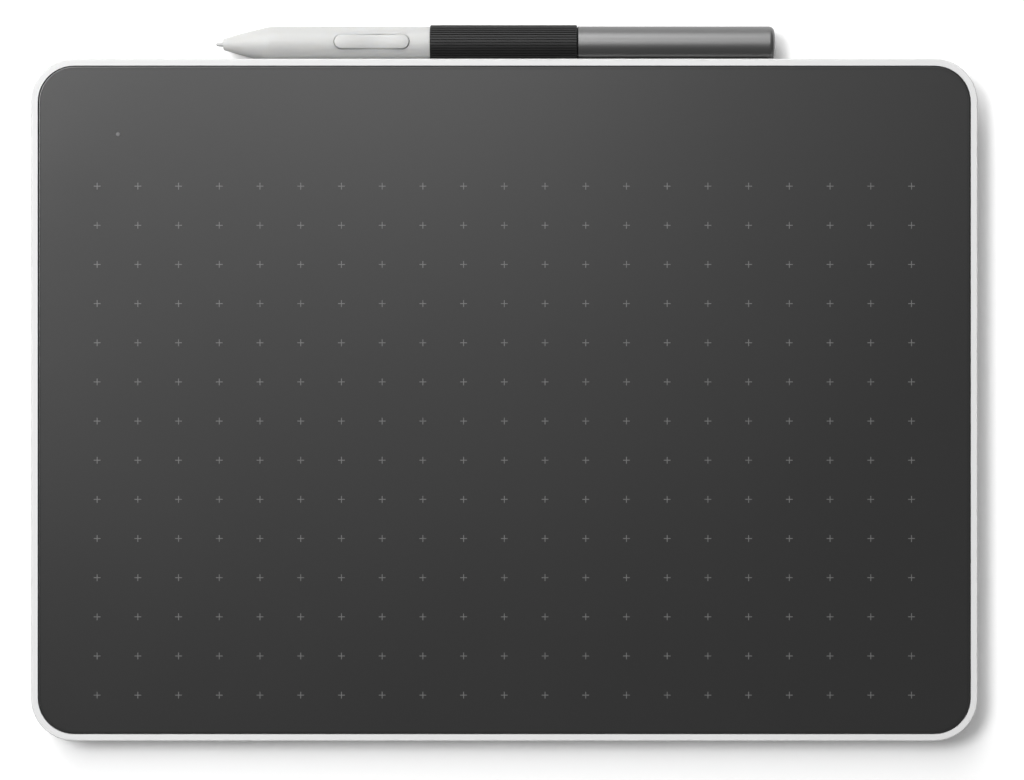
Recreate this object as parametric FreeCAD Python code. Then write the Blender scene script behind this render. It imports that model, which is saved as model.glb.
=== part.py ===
"""Wireless graphics tablet with its pen lying against the rear edge.

Millimetres. +X is the user's right, +Y points away from the user and +Z is up. The origin lies on the
desk under the middle of the set's footprint. The tablet is a white tub-shaped bottom case with tapered
sides, closed by a flat dark cover whose textured sheet is the drawing surface. The pen is battery-free,
with a sprung nib and a rocking side switch, and lies on the desk with its grip tucked under the rim.
"""

import FreeCAD, Part
import math
import os

V = FreeCAD.Vector
X_AXIS = V(1, 0, 0)
Y_AXIS = V(0, 1, 0)
Z_AXIS = V(0, 0, 1)
LEFT_AND_RIGHT = (-1, 1)

# Drawing area, and the dark cover's borders round it
ACTIVE_WIDTH = 216.0
ACTIVE_DEPTH = 135.0
SIDE_BORDER = 15.7
FRONT_BORDER = 10.3
REAR_BORDER = 31.9
COVER_CORNER = 9.6
COVER_THICKNESS = 1.5
COVER_ROUND = 0.45
COVER_GAP = 0.1
SHEET_THICKNESS = 0.3
SHEET_MARGIN = 0.7
SHEET_GAP = 0.05

# White bottom case
RIM_WIDTH = 1.85
RIM_DROP = 0.1
RIM_BAND = 0.65
RIM_ROUND = 0.4
RIM_UNDER_ROUND = 0.15
SIDE_TAPER = 38.0
BOTTOM_ROUND = 2.5
FLOOR_THICKNESS = 1.4
LEDGE_WIDTH = 1.0
LEAST_CORNER = 0.8
RIB_THICKNESS = 1.0
RIB_PITCH_X = 36.0
RIB_PITCH_Y = 30.0
RIB_COLUMNS = 6
RIB_ROWS = 4
RIB_GAP = 0.05

# Lip under the cover, with snap bumps that click into the case wall
LIP_DEPTH = 1.1
LIP_THICKNESS = 1.0
LIP_GAP = 0.12
BUMP_LENGTH = 8.0
BUMP_HEIGHT = 0.45
BUMP_BITE = 0.35
BUMP_PITCH_X = 62.0
BUMP_STEPS_X = (-0.5, 0.5, 1.5)
BUMP_PITCH_Y = 58.0
CATCH_GAP = 0.12

# Rubber feet, and the screws that they hide
FOOT_STAND = 0.9
FOOT_RECESS = 0.5
FOOT_LENGTH = 36.0
FOOT_WIDTH = 8.0
FOOT_GAP = 0.1
FOOT_ROUND = 0.35
SCREW_EDGE_X = 14.15
SCREW_EDGE_Y = 15.45
SCREW_TO_FOOT_END = 4.0
SCREW_RADIUS = 1.0
SCREW_HEAD_RADIUS = 1.9
SCREW_HEAD = 1.1
SCREW_GRIP = 3.4
SCREW_DRIVE = 0.6
SCREW_FIT = 0.05
HEAD_GAP = 0.2
BOSS_WALL = 1.2
BOSS_SEAT = 1.1
BOSS_GAP = 0.1

# Layers under the cover
SPACER_THICKNESS = 0.25
SENSOR_THICKNESS = 0.8
SHIELD_THICKNESS = 0.3
SENSOR_MARGIN = 5.0
SENSOR_FRONT_MARGIN = 6.0
SENSOR_REAR_MARGIN = 6.0
SENSOR_CORNER = 2.0
SHIELD_INSET = 1.0
SHIELD_REAR_INSET = 8.5
NOTCH_GAP = 0.5

# Main board and what stands on it
MAIN_WIDTH = 78.0
MAIN_THICKNESS = 0.8
MAIN_HEADROOM = 1.3
MAIN_FRONT_GAP = 3.2
MAIN_EDGE_GAP = 0.2
MAIN_BOSS_GAP = 0.7
MAIN_SCREW_RADIUS = 0.8
MAIN_SCREW_HEAD_RADIUS = 1.5
MAIN_SCREW_HEAD = 0.9
MAIN_SCREW_LENGTH = 3.0
MAIN_BOSS_RADIUS = 2.0
MAIN_SCREW_INSET = 3.4
MAIN_LEFT_SCREW_INSET = 12.0
BOARD_FIT = 0.1

# What hangs under the main board, in a row leftwards from the battery's socket
RADIO_FROM_SOCKET = 6.0
RADIO_LENGTH = 12.0
RADIO_DEPTH = 10.0
RADIO_HEIGHT = 1.9
RADIO_CORNER = 0.6
CHIP_GAP = 1.5
CHIP_HEIGHT = 1.0
CRYSTAL_LENGTH = 3.2
CRYSTAL_DEPTH = 2.5
PROCESSOR_SIZE = 7.0
CHOKE_SIZE = 4.0
CHOKE_HEIGHT = 1.8
CHARGER_SIZE = 3.0

# USB-C receptacle
USB_WIDTH = 8.94
USB_HEIGHT = 3.2
USB_LENGTH = 7.3
USB_WALL = 0.28
USB_TONGUE_WIDTH = 6.7
USB_TONGUE_HEIGHT = 0.7
USB_TONGUE_SETBACK = 0.6
USB_BACK = 2.4
USB_CONTACTS = 12
USB_CONTACT_PITCH = 0.5
USB_CONTACT_WIDTH = 0.26
USB_CONTACT_HEIGHT = 0.05
USB_CONTACT_LENGTH = 3.2
USB_FLOOR_GAP = 0.1
USB_HOLE_GAP = 0.1
USB_FROM_BUTTON = 15.5
PLUG_WIDTH = 12.4
PLUG_ROOM = 0.7

# Recessed bay in the rear wall for the power button and the receptacle
BAY_ROOF = 0.5
BAY_WALL = 1.3
BAY_CORNER = 1.5
BAY_MARGIN = 2.0
MOUTH_RECESS = 0.1

# Power button, its switch, and the indicator light
BUTTON_LENGTH = 9.0
BUTTON_HEIGHT = 2.4
BUTTON_PROUD = 0.9
BUTTON_ROUND = 0.35
BUTTON_GAP = 0.12
BUTTON_EAR = 1.4
BUTTON_EAR_THICKNESS = 0.8
BUTTON_TRAVEL = 0.4
SWITCH_WIDTH = 6.0
SWITCH_DEPTH = 3.4
SWITCH_HEIGHT = 2.6
PLUNGER_WIDTH = 2.0
PLUNGER_HEIGHT = 1.2
PLUNGER_REACH = 1.2
PLUNGER_ROOT = 0.9
PLUNGER_GAP = 0.05
LED_FROM_LEFT = 5.5
LED_FROM_REAR = 13.8
LED_SIZE = 1.6
LED_HEIGHT = 0.6
PIPE_RADIUS = 0.5
PIPE_STEM_RADIUS = 0.8
PIPE_FLANGE_RADIUS = 1.4
PIPE_FLANGE = 0.35
PIPE_GAP = 0.05

# Battery
BATTERY_LENGTH = 68.0
BATTERY_WIDTH = 32.0
BATTERY_FROM_BOARD = 24.0
BATTERY_HEADROOM = 0.4
BATTERY_TAPE = 0.2
BATTERY_EDGE = 1.2
BATTERY_SEAM = 2.5
BATTERY_SEAM_THICKNESS = 0.6
FENCE_HEIGHT = 1.6
FENCE_THICKNESS = 1.0
FENCE_GAP = 0.5
LEAD_RADIUS = 0.5
LEAD_PITCH = 1.4
LEAD_SPREAD = 3.2
LEAD_COUNT = 3
LEAD_STRAIGHT = 3.0
SOCKET_LENGTH = 4.2
SOCKET_WIDTH = 6.4
SOCKET_HEIGHT = 2.4
SOCKET_WALL = 0.5
SOCKET_INSET = 6.0
PLUG_STANDS_OUT = 1.2

# Flexible cable from the sensor board
FLEX_WIDTH = 20.0
FLEX_THICKNESS = 0.15
FLEX_OVERLAP = 5.0
FLEX_INSERT = 2.2
FLEX_STRAIGHT = 1.2
FLEX_CONNECTOR_DEPTH = 3.6
FLEX_CONNECTOR_HEIGHT = 0.95
FLEX_CONNECTOR_MARGIN = 1.2
FLEX_CONNECTOR_SETBACK = 1.0
FLEX_CONNECTOR_FROM_LEFT = 46.0

# Pen outside
PEN_LENGTH = 148.7
PEN_TIP_X = -76.8
PEN_ROLL = 3.5
PEN_CLEARANCE = 0.15
FRONT_RADIUS = 4.74
FRONT_LENGTH = 57.05
GRIP_RADIUS = 5.16
GRIP_LENGTH = 39.1
GRIP_RIBS = 44
GRIP_GROOVE = 0.28
GRIP_CHAMFER = 0.2
REAR_RADIUS = 4.81
REAR_END_ROUND = 1.5
REAR_LIP_CHAMFER = 0.25
REAR_END_WALL = 2.2
NOSE_LENGTH = 12.0
NOSE_TIP_RADIUS = 1.15
NOSE_LIP = 0.42
NOSE_BULGE = 0.13
NOSE_SHOULDER = 0.14
NOSE_SHOULDER_LENGTH = 2.0
PEN_GAP = 0.06

# Pen inside
PEN_BORE = 3.25
SPIGOT_RADIUS = 3.95
SPIGOT_LENGTH = 55.0
SPIGOT_GAP = 0.05
NIB_RADIUS = 0.65
NIB_TIP_RADIUS = 0.45
NIB_REACH = 1.9
NIB_LENGTH = 22.0
NIB_GAP = 0.15
NIB_TRAVEL = 0.4
NOSE_HOLE_LENGTH = 1.5
HOLDER_RADIUS = 1.4
HOLDER_FIT = 0.05
HOLDER_DEPTH = 3.6
HOLDER_END = 0.7
ROD_RADIUS = 0.8
ROD_LENGTH = 1.6
CORE_START = 7.5
CORE_LENGTH = 10.0
CORE_RADIUS = 1.75
CORE_BORE = 1.05
COIL_START = 10.6
COIL_LENGTH = 6.4
COIL_THICKNESS = 0.5
CHASSIS_GAP = 0.1
CHASSIS_WALL = 0.65
CHASSIS_FRONT_WALL = 0.8
CHASSIS_REAR = 92.0
CHASSIS_SHELF = 0.45
SENSOR_CELL_LENGTH = 6.2
CELL_GAP = 0.05
PEN_BOARD_THICKNESS = 0.8
PEN_BOARD_WIDTH = 5.8
PEN_BOARD_GAP = 0.4
PEN_BOARD_LENGTH = 56.0

# Side switch on the pen
KEY_START = 31.7
KEY_LENGTH = 19.85
KEY_WIDTH = 3.75
KEY_PROUD = 0.4
KEY_END_DROP = 0.16
KEY_VALLEY = 43.35
KEY_VALLEY_PROUD = 0.04
KEY_END_GAP = 0.16
KEY_SIDE_GAP = 0.08
KEY_ROUND = 0.3
KEY_UNDERSIDE = 3.05
KEY_ROOT = 0.3
KEY_SADDLE_OVERRUN = 1.0
KEY_PIVOT_HEIGHT = 1.75
KEY_TRUNNION_RADIUS = 0.4
KEY_TRUNNION_FIT = 0.05
KEY_WEB_WIDTH = 2.6
KEY_WEB_LENGTH = 2.2
KEY_EAR_THICKNESS = 0.55
KEY_EAR_GAP = 0.1
KEY_EAR_WALL = 0.25
KEY_PRESS_ROOM = 0.32
KEY_PAD_RADIUS = 0.7
FRONT_SWITCH = 36.5
REAR_SWITCH = 48.5
PEN_SWITCH_SIZE = 2.8
PEN_SWITCH_HEIGHT = 0.7
PEN_SWITCH_DOME = 0.3
PEN_SWITCH_DOME_RADIUS = 0.9
PEN_CONTROLLER_SIZE = 4.0
PEN_AMPLIFIER_SIZE = 2.6
PEN_CAPACITOR_SIZE = 2.0
PEN_CHIP_HEIGHT = 0.8
PEN_CHIP_GAP = 3.5

# Levels of the tablet, from the desk up
FLOOR_Z = FOOT_STAND
INSIDE_Z = FLOOR_Z + FLOOR_THICKNESS
MAIN_Z = INSIDE_Z + USB_FLOOR_GAP + USB_HEIGHT
MAIN_TOP_Z = MAIN_Z + MAIN_THICKNESS
LEDGE_Z = MAIN_TOP_Z + MAIN_HEADROOM
TOP_Z = LEDGE_Z + COVER_THICKNESS
RIM_Z = TOP_Z - RIM_DROP
BAND_Z = RIM_Z - RIM_BAND
SPACER_Z = LEDGE_Z - SPACER_THICKNESS
SENSOR_Z = SPACER_Z - SENSOR_THICKNESS
SHIELD_Z = SENSOR_Z - SHIELD_THICKNESS
USB_Z = MAIN_Z - USB_HEIGHT / 2

# Plan of the tablet, with its own centre at zero
COVER_INSET = RIM_WIDTH + COVER_GAP
CASE_WIDTH = ACTIVE_WIDTH + 2 * (SIDE_BORDER + COVER_INSET)
CASE_DEPTH = ACTIVE_DEPTH + FRONT_BORDER + REAR_BORDER + 2 * COVER_INSET
CASE_CORNER = COVER_CORNER + COVER_INSET
REAR_Y = CASE_DEPTH / 2
FRONT_Y = -CASE_DEPTH / 2
ACTIVE_Y = (FRONT_BORDER - REAR_BORDER) / 2
TAPER = math.tan(math.radians(SIDE_TAPER))
SCREW_X = CASE_WIDTH / 2 - SCREW_EDGE_X
SCREW_Y = CASE_DEPTH / 2 - SCREW_EDGE_Y
LED_X = -ACTIVE_WIDTH / 2 + LED_FROM_LEFT
LED_Y = ACTIVE_Y + ACTIVE_DEPTH / 2 + LED_FROM_REAR
BUTTON_X = LED_X
USB_X = BUTTON_X + USB_FROM_BUTTON


def slope_inset(z):
    """How far the outer side has drawn in from the rim at this height."""
    return max(BAND_Z - z, 0) * TAPER


def cavity_inset(z):
    """The inner side runs parallel to the outer one, and leaves the cover its ledge."""
    return RIM_WIDTH + LEDGE_WIDTH + (LEDGE_Z - z) * TAPER


BOSS_RADIUS = SCREW_HEAD_RADIUS + HEAD_GAP + BOSS_WALL
COVER_BOSS_RADIUS = SCREW_RADIUS + SCREW_FIT + BOSS_WALL
RECESS_Z = FLOOR_Z + FOOT_RECESS
SEAT_Z = RECESS_Z + SCREW_HEAD + HEAD_GAP
BOSS_TOP_Z = SEAT_Z + BOSS_SEAT
LIP_INSET = cavity_inset(LEDGE_Z - LIP_DEPTH) + LIP_GAP
BUMP_Z = LEDGE_Z - LIP_DEPTH / 2
BUMP_INSET = cavity_inset(BUMP_Z) - BUMP_BITE
SENSOR_LEFT = -ACTIVE_WIDTH / 2 - SENSOR_MARGIN
SENSOR_FRONT = ACTIVE_Y - ACTIVE_DEPTH / 2 - SENSOR_FRONT_MARGIN
SENSOR_REAR = ACTIVE_Y + ACTIVE_DEPTH / 2 + SENSOR_REAR_MARGIN

# The bay's face stands just inside the slope at the receptacle's lower edge
BAY_FACE_Y = REAR_Y - slope_inset(USB_Z - USB_HEIGHT / 2) - MOUTH_RECESS
BAY_LEFT = BUTTON_X - BUTTON_LENGTH / 2 - BAY_MARGIN
BAY_RIGHT = USB_X + PLUG_WIDTH / 2 + PLUG_ROOM
BAY_TOP_Z = LEDGE_Z - BAY_ROOF
BAY_INNER_Y = BAY_FACE_Y - BAY_WALL
MAIN_LEFT = -SCREW_X + BOSS_RADIUS + MAIN_BOSS_GAP
MAIN_RIGHT = MAIN_LEFT + MAIN_WIDTH
MAIN_FRONT = SENSOR_REAR + MAIN_FRONT_GAP
MAIN_REAR = BAY_INNER_Y - MAIN_EDGE_GAP
BATTERY_LEFT = MAIN_RIGHT + BATTERY_FROM_BOARD
BATTERY_RIGHT = BATTERY_LEFT + BATTERY_LENGTH
SOCKET_RIGHT = MAIN_RIGHT - SOCKET_INSET
RADIO_RIGHT = SOCKET_RIGHT - SOCKET_LENGTH - RADIO_FROM_SOCKET
RADIO_LEFT = RADIO_RIGHT - RADIO_LENGTH
LEADS_Y = (MAIN_FRONT + MAIN_REAR) / 2
LEADS_HALF = (LEAD_COUNT - 1) / 2 * LEAD_SPREAD + LEAD_RADIUS
BATTERY_REAR = LEADS_Y + LEADS_HALF + 2 * BATTERY_EDGE
BATTERY_FRONT = BATTERY_REAR - BATTERY_WIDTH
BATTERY_Z = INSIDE_Z + BATTERY_TAPE
BATTERY_TOP_Z = SHIELD_Z - BATTERY_HEADROOM
FLEX_X = MAIN_LEFT + FLEX_CONNECTOR_FROM_LEFT
FLEX_CONNECTOR_Y = MAIN_FRONT + FLEX_CONNECTOR_SETBACK

# The pen lies on its grip, as close under the rim as the grip and the sloping side allow
PEN_Z = GRIP_RADIUS
REACH = GRIP_RADIUS + PEN_CLEARANCE
CLEAR_OF_RIM = math.sqrt(max(REACH**2 - (BAND_Z - PEN_Z) ** 2, 0))
CLEAR_OF_SIDE = (REACH - (BAND_Z - PEN_Z) * math.sin(math.radians(SIDE_TAPER))) / math.cos(
    math.radians(SIDE_TAPER)
)
PEN_OFFSET = max(CLEAR_OF_RIM, CLEAR_OF_SIDE)
PEN_Y = REAR_Y + PEN_OFFSET
TABLET_Y = -(PEN_OFFSET + GRIP_RADIUS) / 2

# Stations along the pen, from the nib's tip
NOSE_S = NIB_REACH
GRIP_S = FRONT_LENGTH
GRIP_END_S = GRIP_S + GRIP_LENGTH
REAR_S = GRIP_END_S + PEN_GAP
SPIGOT_END_S = GRIP_S + SPIGOT_LENGTH
HOLDER_S = NIB_LENGTH - HOLDER_DEPTH
HOLDER_END_S = NIB_LENGTH + HOLDER_END
ROD_END_S = HOLDER_END_S + ROD_LENGTH
CELL_S = ROD_END_S + NIB_TRAVEL + CELL_GAP
CELL_END_S = CELL_S + SENSOR_CELL_LENGTH
PEN_BOARD_S = CELL_END_S + PEN_BOARD_GAP
CHASSIS_S = CORE_START + CORE_LENGTH + CHASSIS_GAP
CHASSIS_RADIUS = PEN_BORE - CHASSIS_GAP
PEN_BOARD_TOP = CHASSIS_SHELF + PEN_BOARD_THICKNESS
DOME_TOP = PEN_BOARD_TOP + PEN_SWITCH_HEIGHT + PEN_SWITCH_DOME
EAR_INNER = KEY_WEB_WIDTH / 2 + KEY_EAR_GAP
EAR_OUTER = EAR_INNER + KEY_EAR_THICKNESS
EAR_TOP = KEY_PIVOT_HEIGHT + KEY_TRUNNION_RADIUS + KEY_TRUNNION_FIT + KEY_EAR_WALL


def box(x0, x1, y0, y1, z0, z1):
    return Part.makeBox(x1 - x0, y1 - y0, z1 - z0, V(x0, y0, z0))


def upright(radius, x, y, z0, z1):
    return Part.makeCylinder(radius, z1 - z0, V(x, y, z0), Z_AXIS)


def rounded_wire(x0, x1, y0, y1, radius, z):
    """A rectangle with round corners, always starting at the same corner so that lofts stay straight."""
    bend = radius * (1 - math.sqrt(0.5))
    edges = []
    corners = ((x1, y0, -1, 1), (x1, y1, -1, -1), (x0, y1, 1, -1), (x0, y0, 1, 1))
    starts = []
    for number, (x, y, inward_x, inward_y) in enumerate(corners):
        along_x = V(x + inward_x * radius, y, z)
        along_y = V(x, y + inward_y * radius, z)
        first, last = (along_x, along_y) if number % 2 == 0 else (along_y, along_x)
        starts.append((first, V(x + inward_x * bend, y + inward_y * bend, z), last))
    for number, (first, middle, last) in enumerate(starts):
        following = starts[(number + 1) % len(starts)][0]
        edges.append(Part.Arc(first, middle, last).toShape())
        if last.distanceToPoint(following) > 1e-6:
            edges.append(Part.makeLine(last, following))
    return Part.Wire(edges)


def rounded_prism(x0, x1, y0, y1, radius, z0, z1):
    return Part.Face(rounded_wire(x0, x1, y0, y1, radius, z0)).extrude(V(0, 0, z1 - z0))


def outline(inset, z):
    """The tablet's plan drawn in by inset on every side."""
    half_width = CASE_WIDTH / 2 - inset
    half_depth = CASE_DEPTH / 2 - inset
    radius = max(CASE_CORNER - inset, LEAST_CORNER)
    return rounded_wire(-half_width, half_width, -half_depth, half_depth, radius, z)


def slab(inset, z0, z1):
    return Part.Face(outline(inset, z0)).extrude(V(0, 0, z1 - z0))


def pill(x_middle, y_middle, length, width, z0, z1):
    """An upright prism with half-round ends, long in X."""
    x0 = x_middle - length / 2
    y0 = y_middle - width / 2
    if length - width < 1e-6:
        return upright(width / 2, x_middle, y_middle, z0, z1)
    return rounded_prism(x0, x0 + length, y0, y0 + width, width / 2, z0, z1)


def stadium(x_middle, z_middle, length, height, y0, y1):
    """The same shape lying along Y, as a port or a button's section."""
    shape = pill(0, 0, length, height, 0, y1 - y0)
    shape.rotate(V(0, 0, 0), X_AXIS, 90)
    shape.translate(V(x_middle, y1, z_middle))
    return shape


def level_edges(shape, z):
    """The edges that lie flat at this height."""
    return [e for e in shape.Edges if abs(e.BoundBox.ZMin - z) < 1e-4 and abs(e.BoundBox.ZMax - z) < 1e-4]


def turned(points):
    """A solid turned about the pen's axis. A point is (station, radius); a pair of points is an arc."""
    edges = []
    place = points[0]
    for item in points[1:] + points[:1]:
        if isinstance(item[0], tuple):
            middle, end = item
            stops = [V(station, 0, radius) for station, radius in (place, middle, end)]
            edges.append(Part.Arc(*stops).toShape())
        else:
            end = item
            edges.append(Part.makeLine(V(place[0], 0, place[1]), V(end[0], 0, end[1])))
        place = end
    return Part.Face(Part.Wire(edges)).revolve(V(0, 0, 0), X_AXIS, 360)


def round_bar(start, end, radius):
    return Part.makeCylinder(radius, end - start, V(start, 0, 0), X_AXIS)


def four_corners():
    return [(x * SCREW_X, y * SCREW_Y) for x in LEFT_AND_RIGHT for y in LEFT_AND_RIGHT]


def feet_places():
    """Each long foot covers a screw near its outer end."""
    reach = FOOT_LENGTH / 2 - SCREW_TO_FOOT_END
    return [(x - math.copysign(reach, x), y) for x, y in four_corners()]


def main_screw_places():
    rear_row = MAIN_REAR - MAIN_SCREW_INSET
    front_row = MAIN_FRONT + MAIN_SCREW_INSET
    right = MAIN_RIGHT - MAIN_SCREW_INSET
    return [(MAIN_LEFT + MAIN_LEFT_SCREW_INSET, front_row), (right, front_row), (right, rear_row)]


def snap_places():
    """Each bump's middle, its half sizes in X and Y, and the side it faces."""
    side_x = CASE_WIDTH / 2
    side_y = CASE_DEPTH / 2
    places = [(x * BUMP_PITCH_X, y * side_y, 0, y) for x in BUMP_STEPS_X for y in LEFT_AND_RIGHT]
    places += [(x * side_x, y * BUMP_PITCH_Y / 2, x, 0) for x in LEFT_AND_RIGHT for y in LEFT_AND_RIGHT]
    return places


def snap_block(place, outer_inset, inner_inset, z0, z1, end_room):
    """A short bar along the tablet's side, between two insets."""
    x, y, side_x, side_y = place
    half = BUMP_LENGTH / 2 + end_room
    if side_x:
        xs = sorted((x - side_x * outer_inset, x - side_x * inner_inset))
        return box(xs[0], xs[1], y - half, y + half, z0, z1)
    ys = sorted((y - side_y * outer_inset, y - side_y * inner_inset))
    return box(x - half, x + half, ys[0], ys[1], z0, z1)


def case_hull():
    """The tub's outside: tapered sides, a narrow upright rim, and soft edges."""
    sections = [outline(slope_inset(FLOOR_Z), FLOOR_Z), outline(0, BAND_Z), outline(0, RIM_Z)]
    hull = Part.makeLoft(sections, True, True)
    hull = hull.makeFillet(BOTTOM_ROUND, level_edges(hull, FLOOR_Z))
    hull = hull.makeFillet(RIM_ROUND, level_edges(hull, RIM_Z))
    return hull.makeFillet(RIM_UNDER_ROUND, level_edges(hull, BAND_Z))


def case_cavity():
    sections = [outline(cavity_inset(z), z) for z in (INSIDE_Z, LEDGE_Z)]
    return Part.makeLoft(sections, True, True).fuse(slab(RIM_WIDTH, LEDGE_Z, RIM_Z + 1))


def case_ribs():
    """Ribs that carry the shield plate, and the fence round the battery."""
    rib_top = SHIELD_Z - RIB_GAP
    root = INSIDE_Z - FLOOR_THICKNESS / 2
    half_width = CASE_WIDTH / 2 - cavity_inset(INSIDE_Z)
    front = FRONT_Y + cavity_inset(INSIDE_Z)
    first_row = front + RIB_PITCH_Y / 2
    last_row = first_row + (RIB_ROWS - 1) * RIB_PITCH_Y
    ribs = []
    for row in range(RIB_ROWS):
        y = first_row + row * RIB_PITCH_Y
        ribs.append(box(-half_width, half_width, y - RIB_THICKNESS / 2, y + RIB_THICKNESS / 2, root, rib_top))
    for column in range(RIB_COLUMNS):
        x = (column - (RIB_COLUMNS - 1) / 2) * RIB_PITCH_X
        ribs.append(box(x - RIB_THICKNESS / 2, x + RIB_THICKNESS / 2, front, last_row, root, rib_top))
    fence_top = INSIDE_Z + FENCE_HEIGHT
    x0, x1 = BATTERY_LEFT - FENCE_GAP, BATTERY_RIGHT + FENCE_GAP
    y0, y1 = BATTERY_FRONT - FENCE_GAP, BATTERY_REAR + FENCE_GAP
    wall = FENCE_THICKNESS
    ring = box(x0 - wall, x1 + wall, y0 - wall, y1 + wall, root, fence_top)
    ring = ring.cut(box(x0, x1, y0, y1, INSIDE_Z, fence_top))
    doorway = LEADS_HALF + FENCE_GAP
    ring = ring.cut(box(x0 - wall, x0, LEADS_Y - doorway, LEADS_Y + doorway, INSIDE_Z, fence_top))
    return ribs + [ring]


def bottom_case():
    hull = case_hull()
    additions = case_ribs()
    for x, y in four_corners():
        additions.append(upright(BOSS_RADIUS, x, y, RECESS_Z, BOSS_TOP_Z))
    for x, y in main_screw_places():
        additions.append(upright(MAIN_BOSS_RADIUS, x, y, FLOOR_Z + FLOOR_THICKNESS / 2, MAIN_Z))
    additions.append(
        box(BAY_LEFT - BAY_WALL, BAY_RIGHT + BAY_WALL, BAY_INNER_Y, REAR_Y, FLOOR_Z, LEDGE_Z).common(hull)
    )
    case = hull.cut(case_cavity()).multiFuse(additions)
    wall_foot_y = REAR_Y - cavity_inset(INSIDE_Z)
    usb_hole = (USB_WIDTH + 2 * USB_HOLE_GAP, USB_HEIGHT + 2 * USB_HOLE_GAP)
    button_hole = (BUTTON_LENGTH + 2 * BUTTON_GAP, BUTTON_HEIGHT + 2 * BUTTON_GAP)
    ear_reach = BUTTON_LENGTH / 2 + BUTTON_EAR + BUTTON_GAP
    ear_x = (BUTTON_X - ear_reach, BUTTON_X + ear_reach)
    cuts = [
        rounded_prism(BAY_LEFT, BAY_RIGHT, BAY_FACE_Y, REAR_Y + 2 * BAY_CORNER, BAY_CORNER, 0, BAY_TOP_Z),
        stadium(USB_X, USB_Z, *usb_hole, wall_foot_y - 1, BAY_FACE_Y + 1),
        stadium(BUTTON_X, USB_Z, *button_hole, wall_foot_y - 1, BAY_FACE_Y + 1),
        box(*ear_x, wall_foot_y - 1, BAY_INNER_Y, USB_Z - BUTTON_HEIGHT / 2, LEDGE_Z),
    ]
    for x, y in four_corners():
        cuts.append(upright(SCREW_HEAD_RADIUS + HEAD_GAP, x, y, FLOOR_Z, SEAT_Z))
        cuts.append(upright(SCREW_RADIUS + HEAD_GAP, x, y, FLOOR_Z, BOSS_TOP_Z + 1))
    for x, y in feet_places():
        cuts.append(pill(x, y, FOOT_LENGTH + 2 * FOOT_GAP, FOOT_WIDTH + 2 * FOOT_GAP, 0, RECESS_Z))
    for x, y in main_screw_places():
        cuts.append(upright(MAIN_SCREW_RADIUS + SCREW_FIT, x, y, MAIN_Z - MAIN_SCREW_LENGTH, MAIN_Z + 1))
    catch = BUMP_HEIGHT / 2 + CATCH_GAP
    for place in snap_places():
        cuts.append(
            snap_block(place, BUMP_INSET - CATCH_GAP, LIP_INSET, BUMP_Z - catch, BUMP_Z + catch, CATCH_GAP)
        )
    for cut in cuts:
        case = case.cut(cut)
    return case.removeSplitter()


def top_cover():
    plate = slab(COVER_INSET, LEDGE_Z, TOP_Z)
    plate = plate.makeFillet(COVER_ROUND, level_edges(plate, TOP_Z))
    plate = plate.cut(slab(COVER_INSET + SHEET_MARGIN, TOP_Z - SHEET_THICKNESS, TOP_Z + 1))
    lip_foot = LEDGE_Z - LIP_DEPTH
    buried = LEDGE_Z + COVER_THICKNESS / 3
    lip = slab(LIP_INSET, lip_foot, buried).cut(slab(LIP_INSET + LIP_THICKNESS, lip_foot - 1, buried + 1))
    bay_room = BAY_WALL + LIP_GAP
    lip = lip.cut(
        box(BAY_LEFT - bay_room, BAY_RIGHT + bay_room, BAY_INNER_Y - LIP_GAP, REAR_Y, lip_foot - 1, LEDGE_Z)
    )
    additions = [lip]
    bump = BUMP_HEIGHT / 2
    buried_inset = LIP_INSET + LIP_THICKNESS / 2
    for place in snap_places():
        additions.append(snap_block(place, BUMP_INSET, buried_inset, BUMP_Z - bump, BUMP_Z + bump, 0))
    for x, y in four_corners():
        additions.append(upright(COVER_BOSS_RADIUS, x, y, BOSS_TOP_Z + BOSS_GAP, buried))
    cover = plate.multiFuse(additions)
    for x, y in four_corners():
        cover = cover.cut(upright(SCREW_RADIUS + SCREW_FIT, x, y, 0, BOSS_TOP_Z + BOSS_GAP + SCREW_GRIP))
    cover = cover.cut(upright(PIPE_RADIUS + PIPE_GAP, LED_X, LED_Y, LEDGE_Z - 1, TOP_Z + 1))
    return cover.removeSplitter()


def surface_sheet():
    sheet = slab(COVER_INSET + SHEET_MARGIN + SHEET_GAP, TOP_Z - SHEET_THICKNESS, TOP_Z)
    return sheet.cut(upright(PIPE_RADIUS + PIPE_GAP, LED_X, LED_Y, 0, TOP_Z + 1))


def notched_board(inset, rear_inset, z0, z1):
    """A layer of the sensor stack, notched round the cover's front bosses."""
    board = rounded_prism(
        SENSOR_LEFT + inset,
        -SENSOR_LEFT - inset,
        SENSOR_FRONT + inset,
        SENSOR_REAR - rear_inset,
        SENSOR_CORNER,
        z0,
        z1,
    )
    for x, y in four_corners():
        board = board.cut(upright(COVER_BOSS_RADIUS + NOTCH_GAP, x, y, z0 - 1, z1 + 1))
    return board


def spacer_sheet():
    return notched_board(SHIELD_INSET, SHIELD_INSET, SPACER_Z, LEDGE_Z)


def sensor_board():
    return notched_board(0, 0, SENSOR_Z, SPACER_Z)


def shield_plate():
    return notched_board(SHIELD_INSET, SHIELD_REAR_INSET, SHIELD_Z, SENSOR_Z)


def main_board():
    board = rounded_prism(MAIN_LEFT, MAIN_RIGHT, MAIN_FRONT, MAIN_REAR, 1.0, MAIN_Z, MAIN_TOP_Z)
    for x, y in main_screw_places():
        board = board.cut(upright(MAIN_SCREW_RADIUS + BOARD_FIT, x, y, MAIN_Z - 1, MAIN_TOP_Z + 1))
    return board


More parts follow.
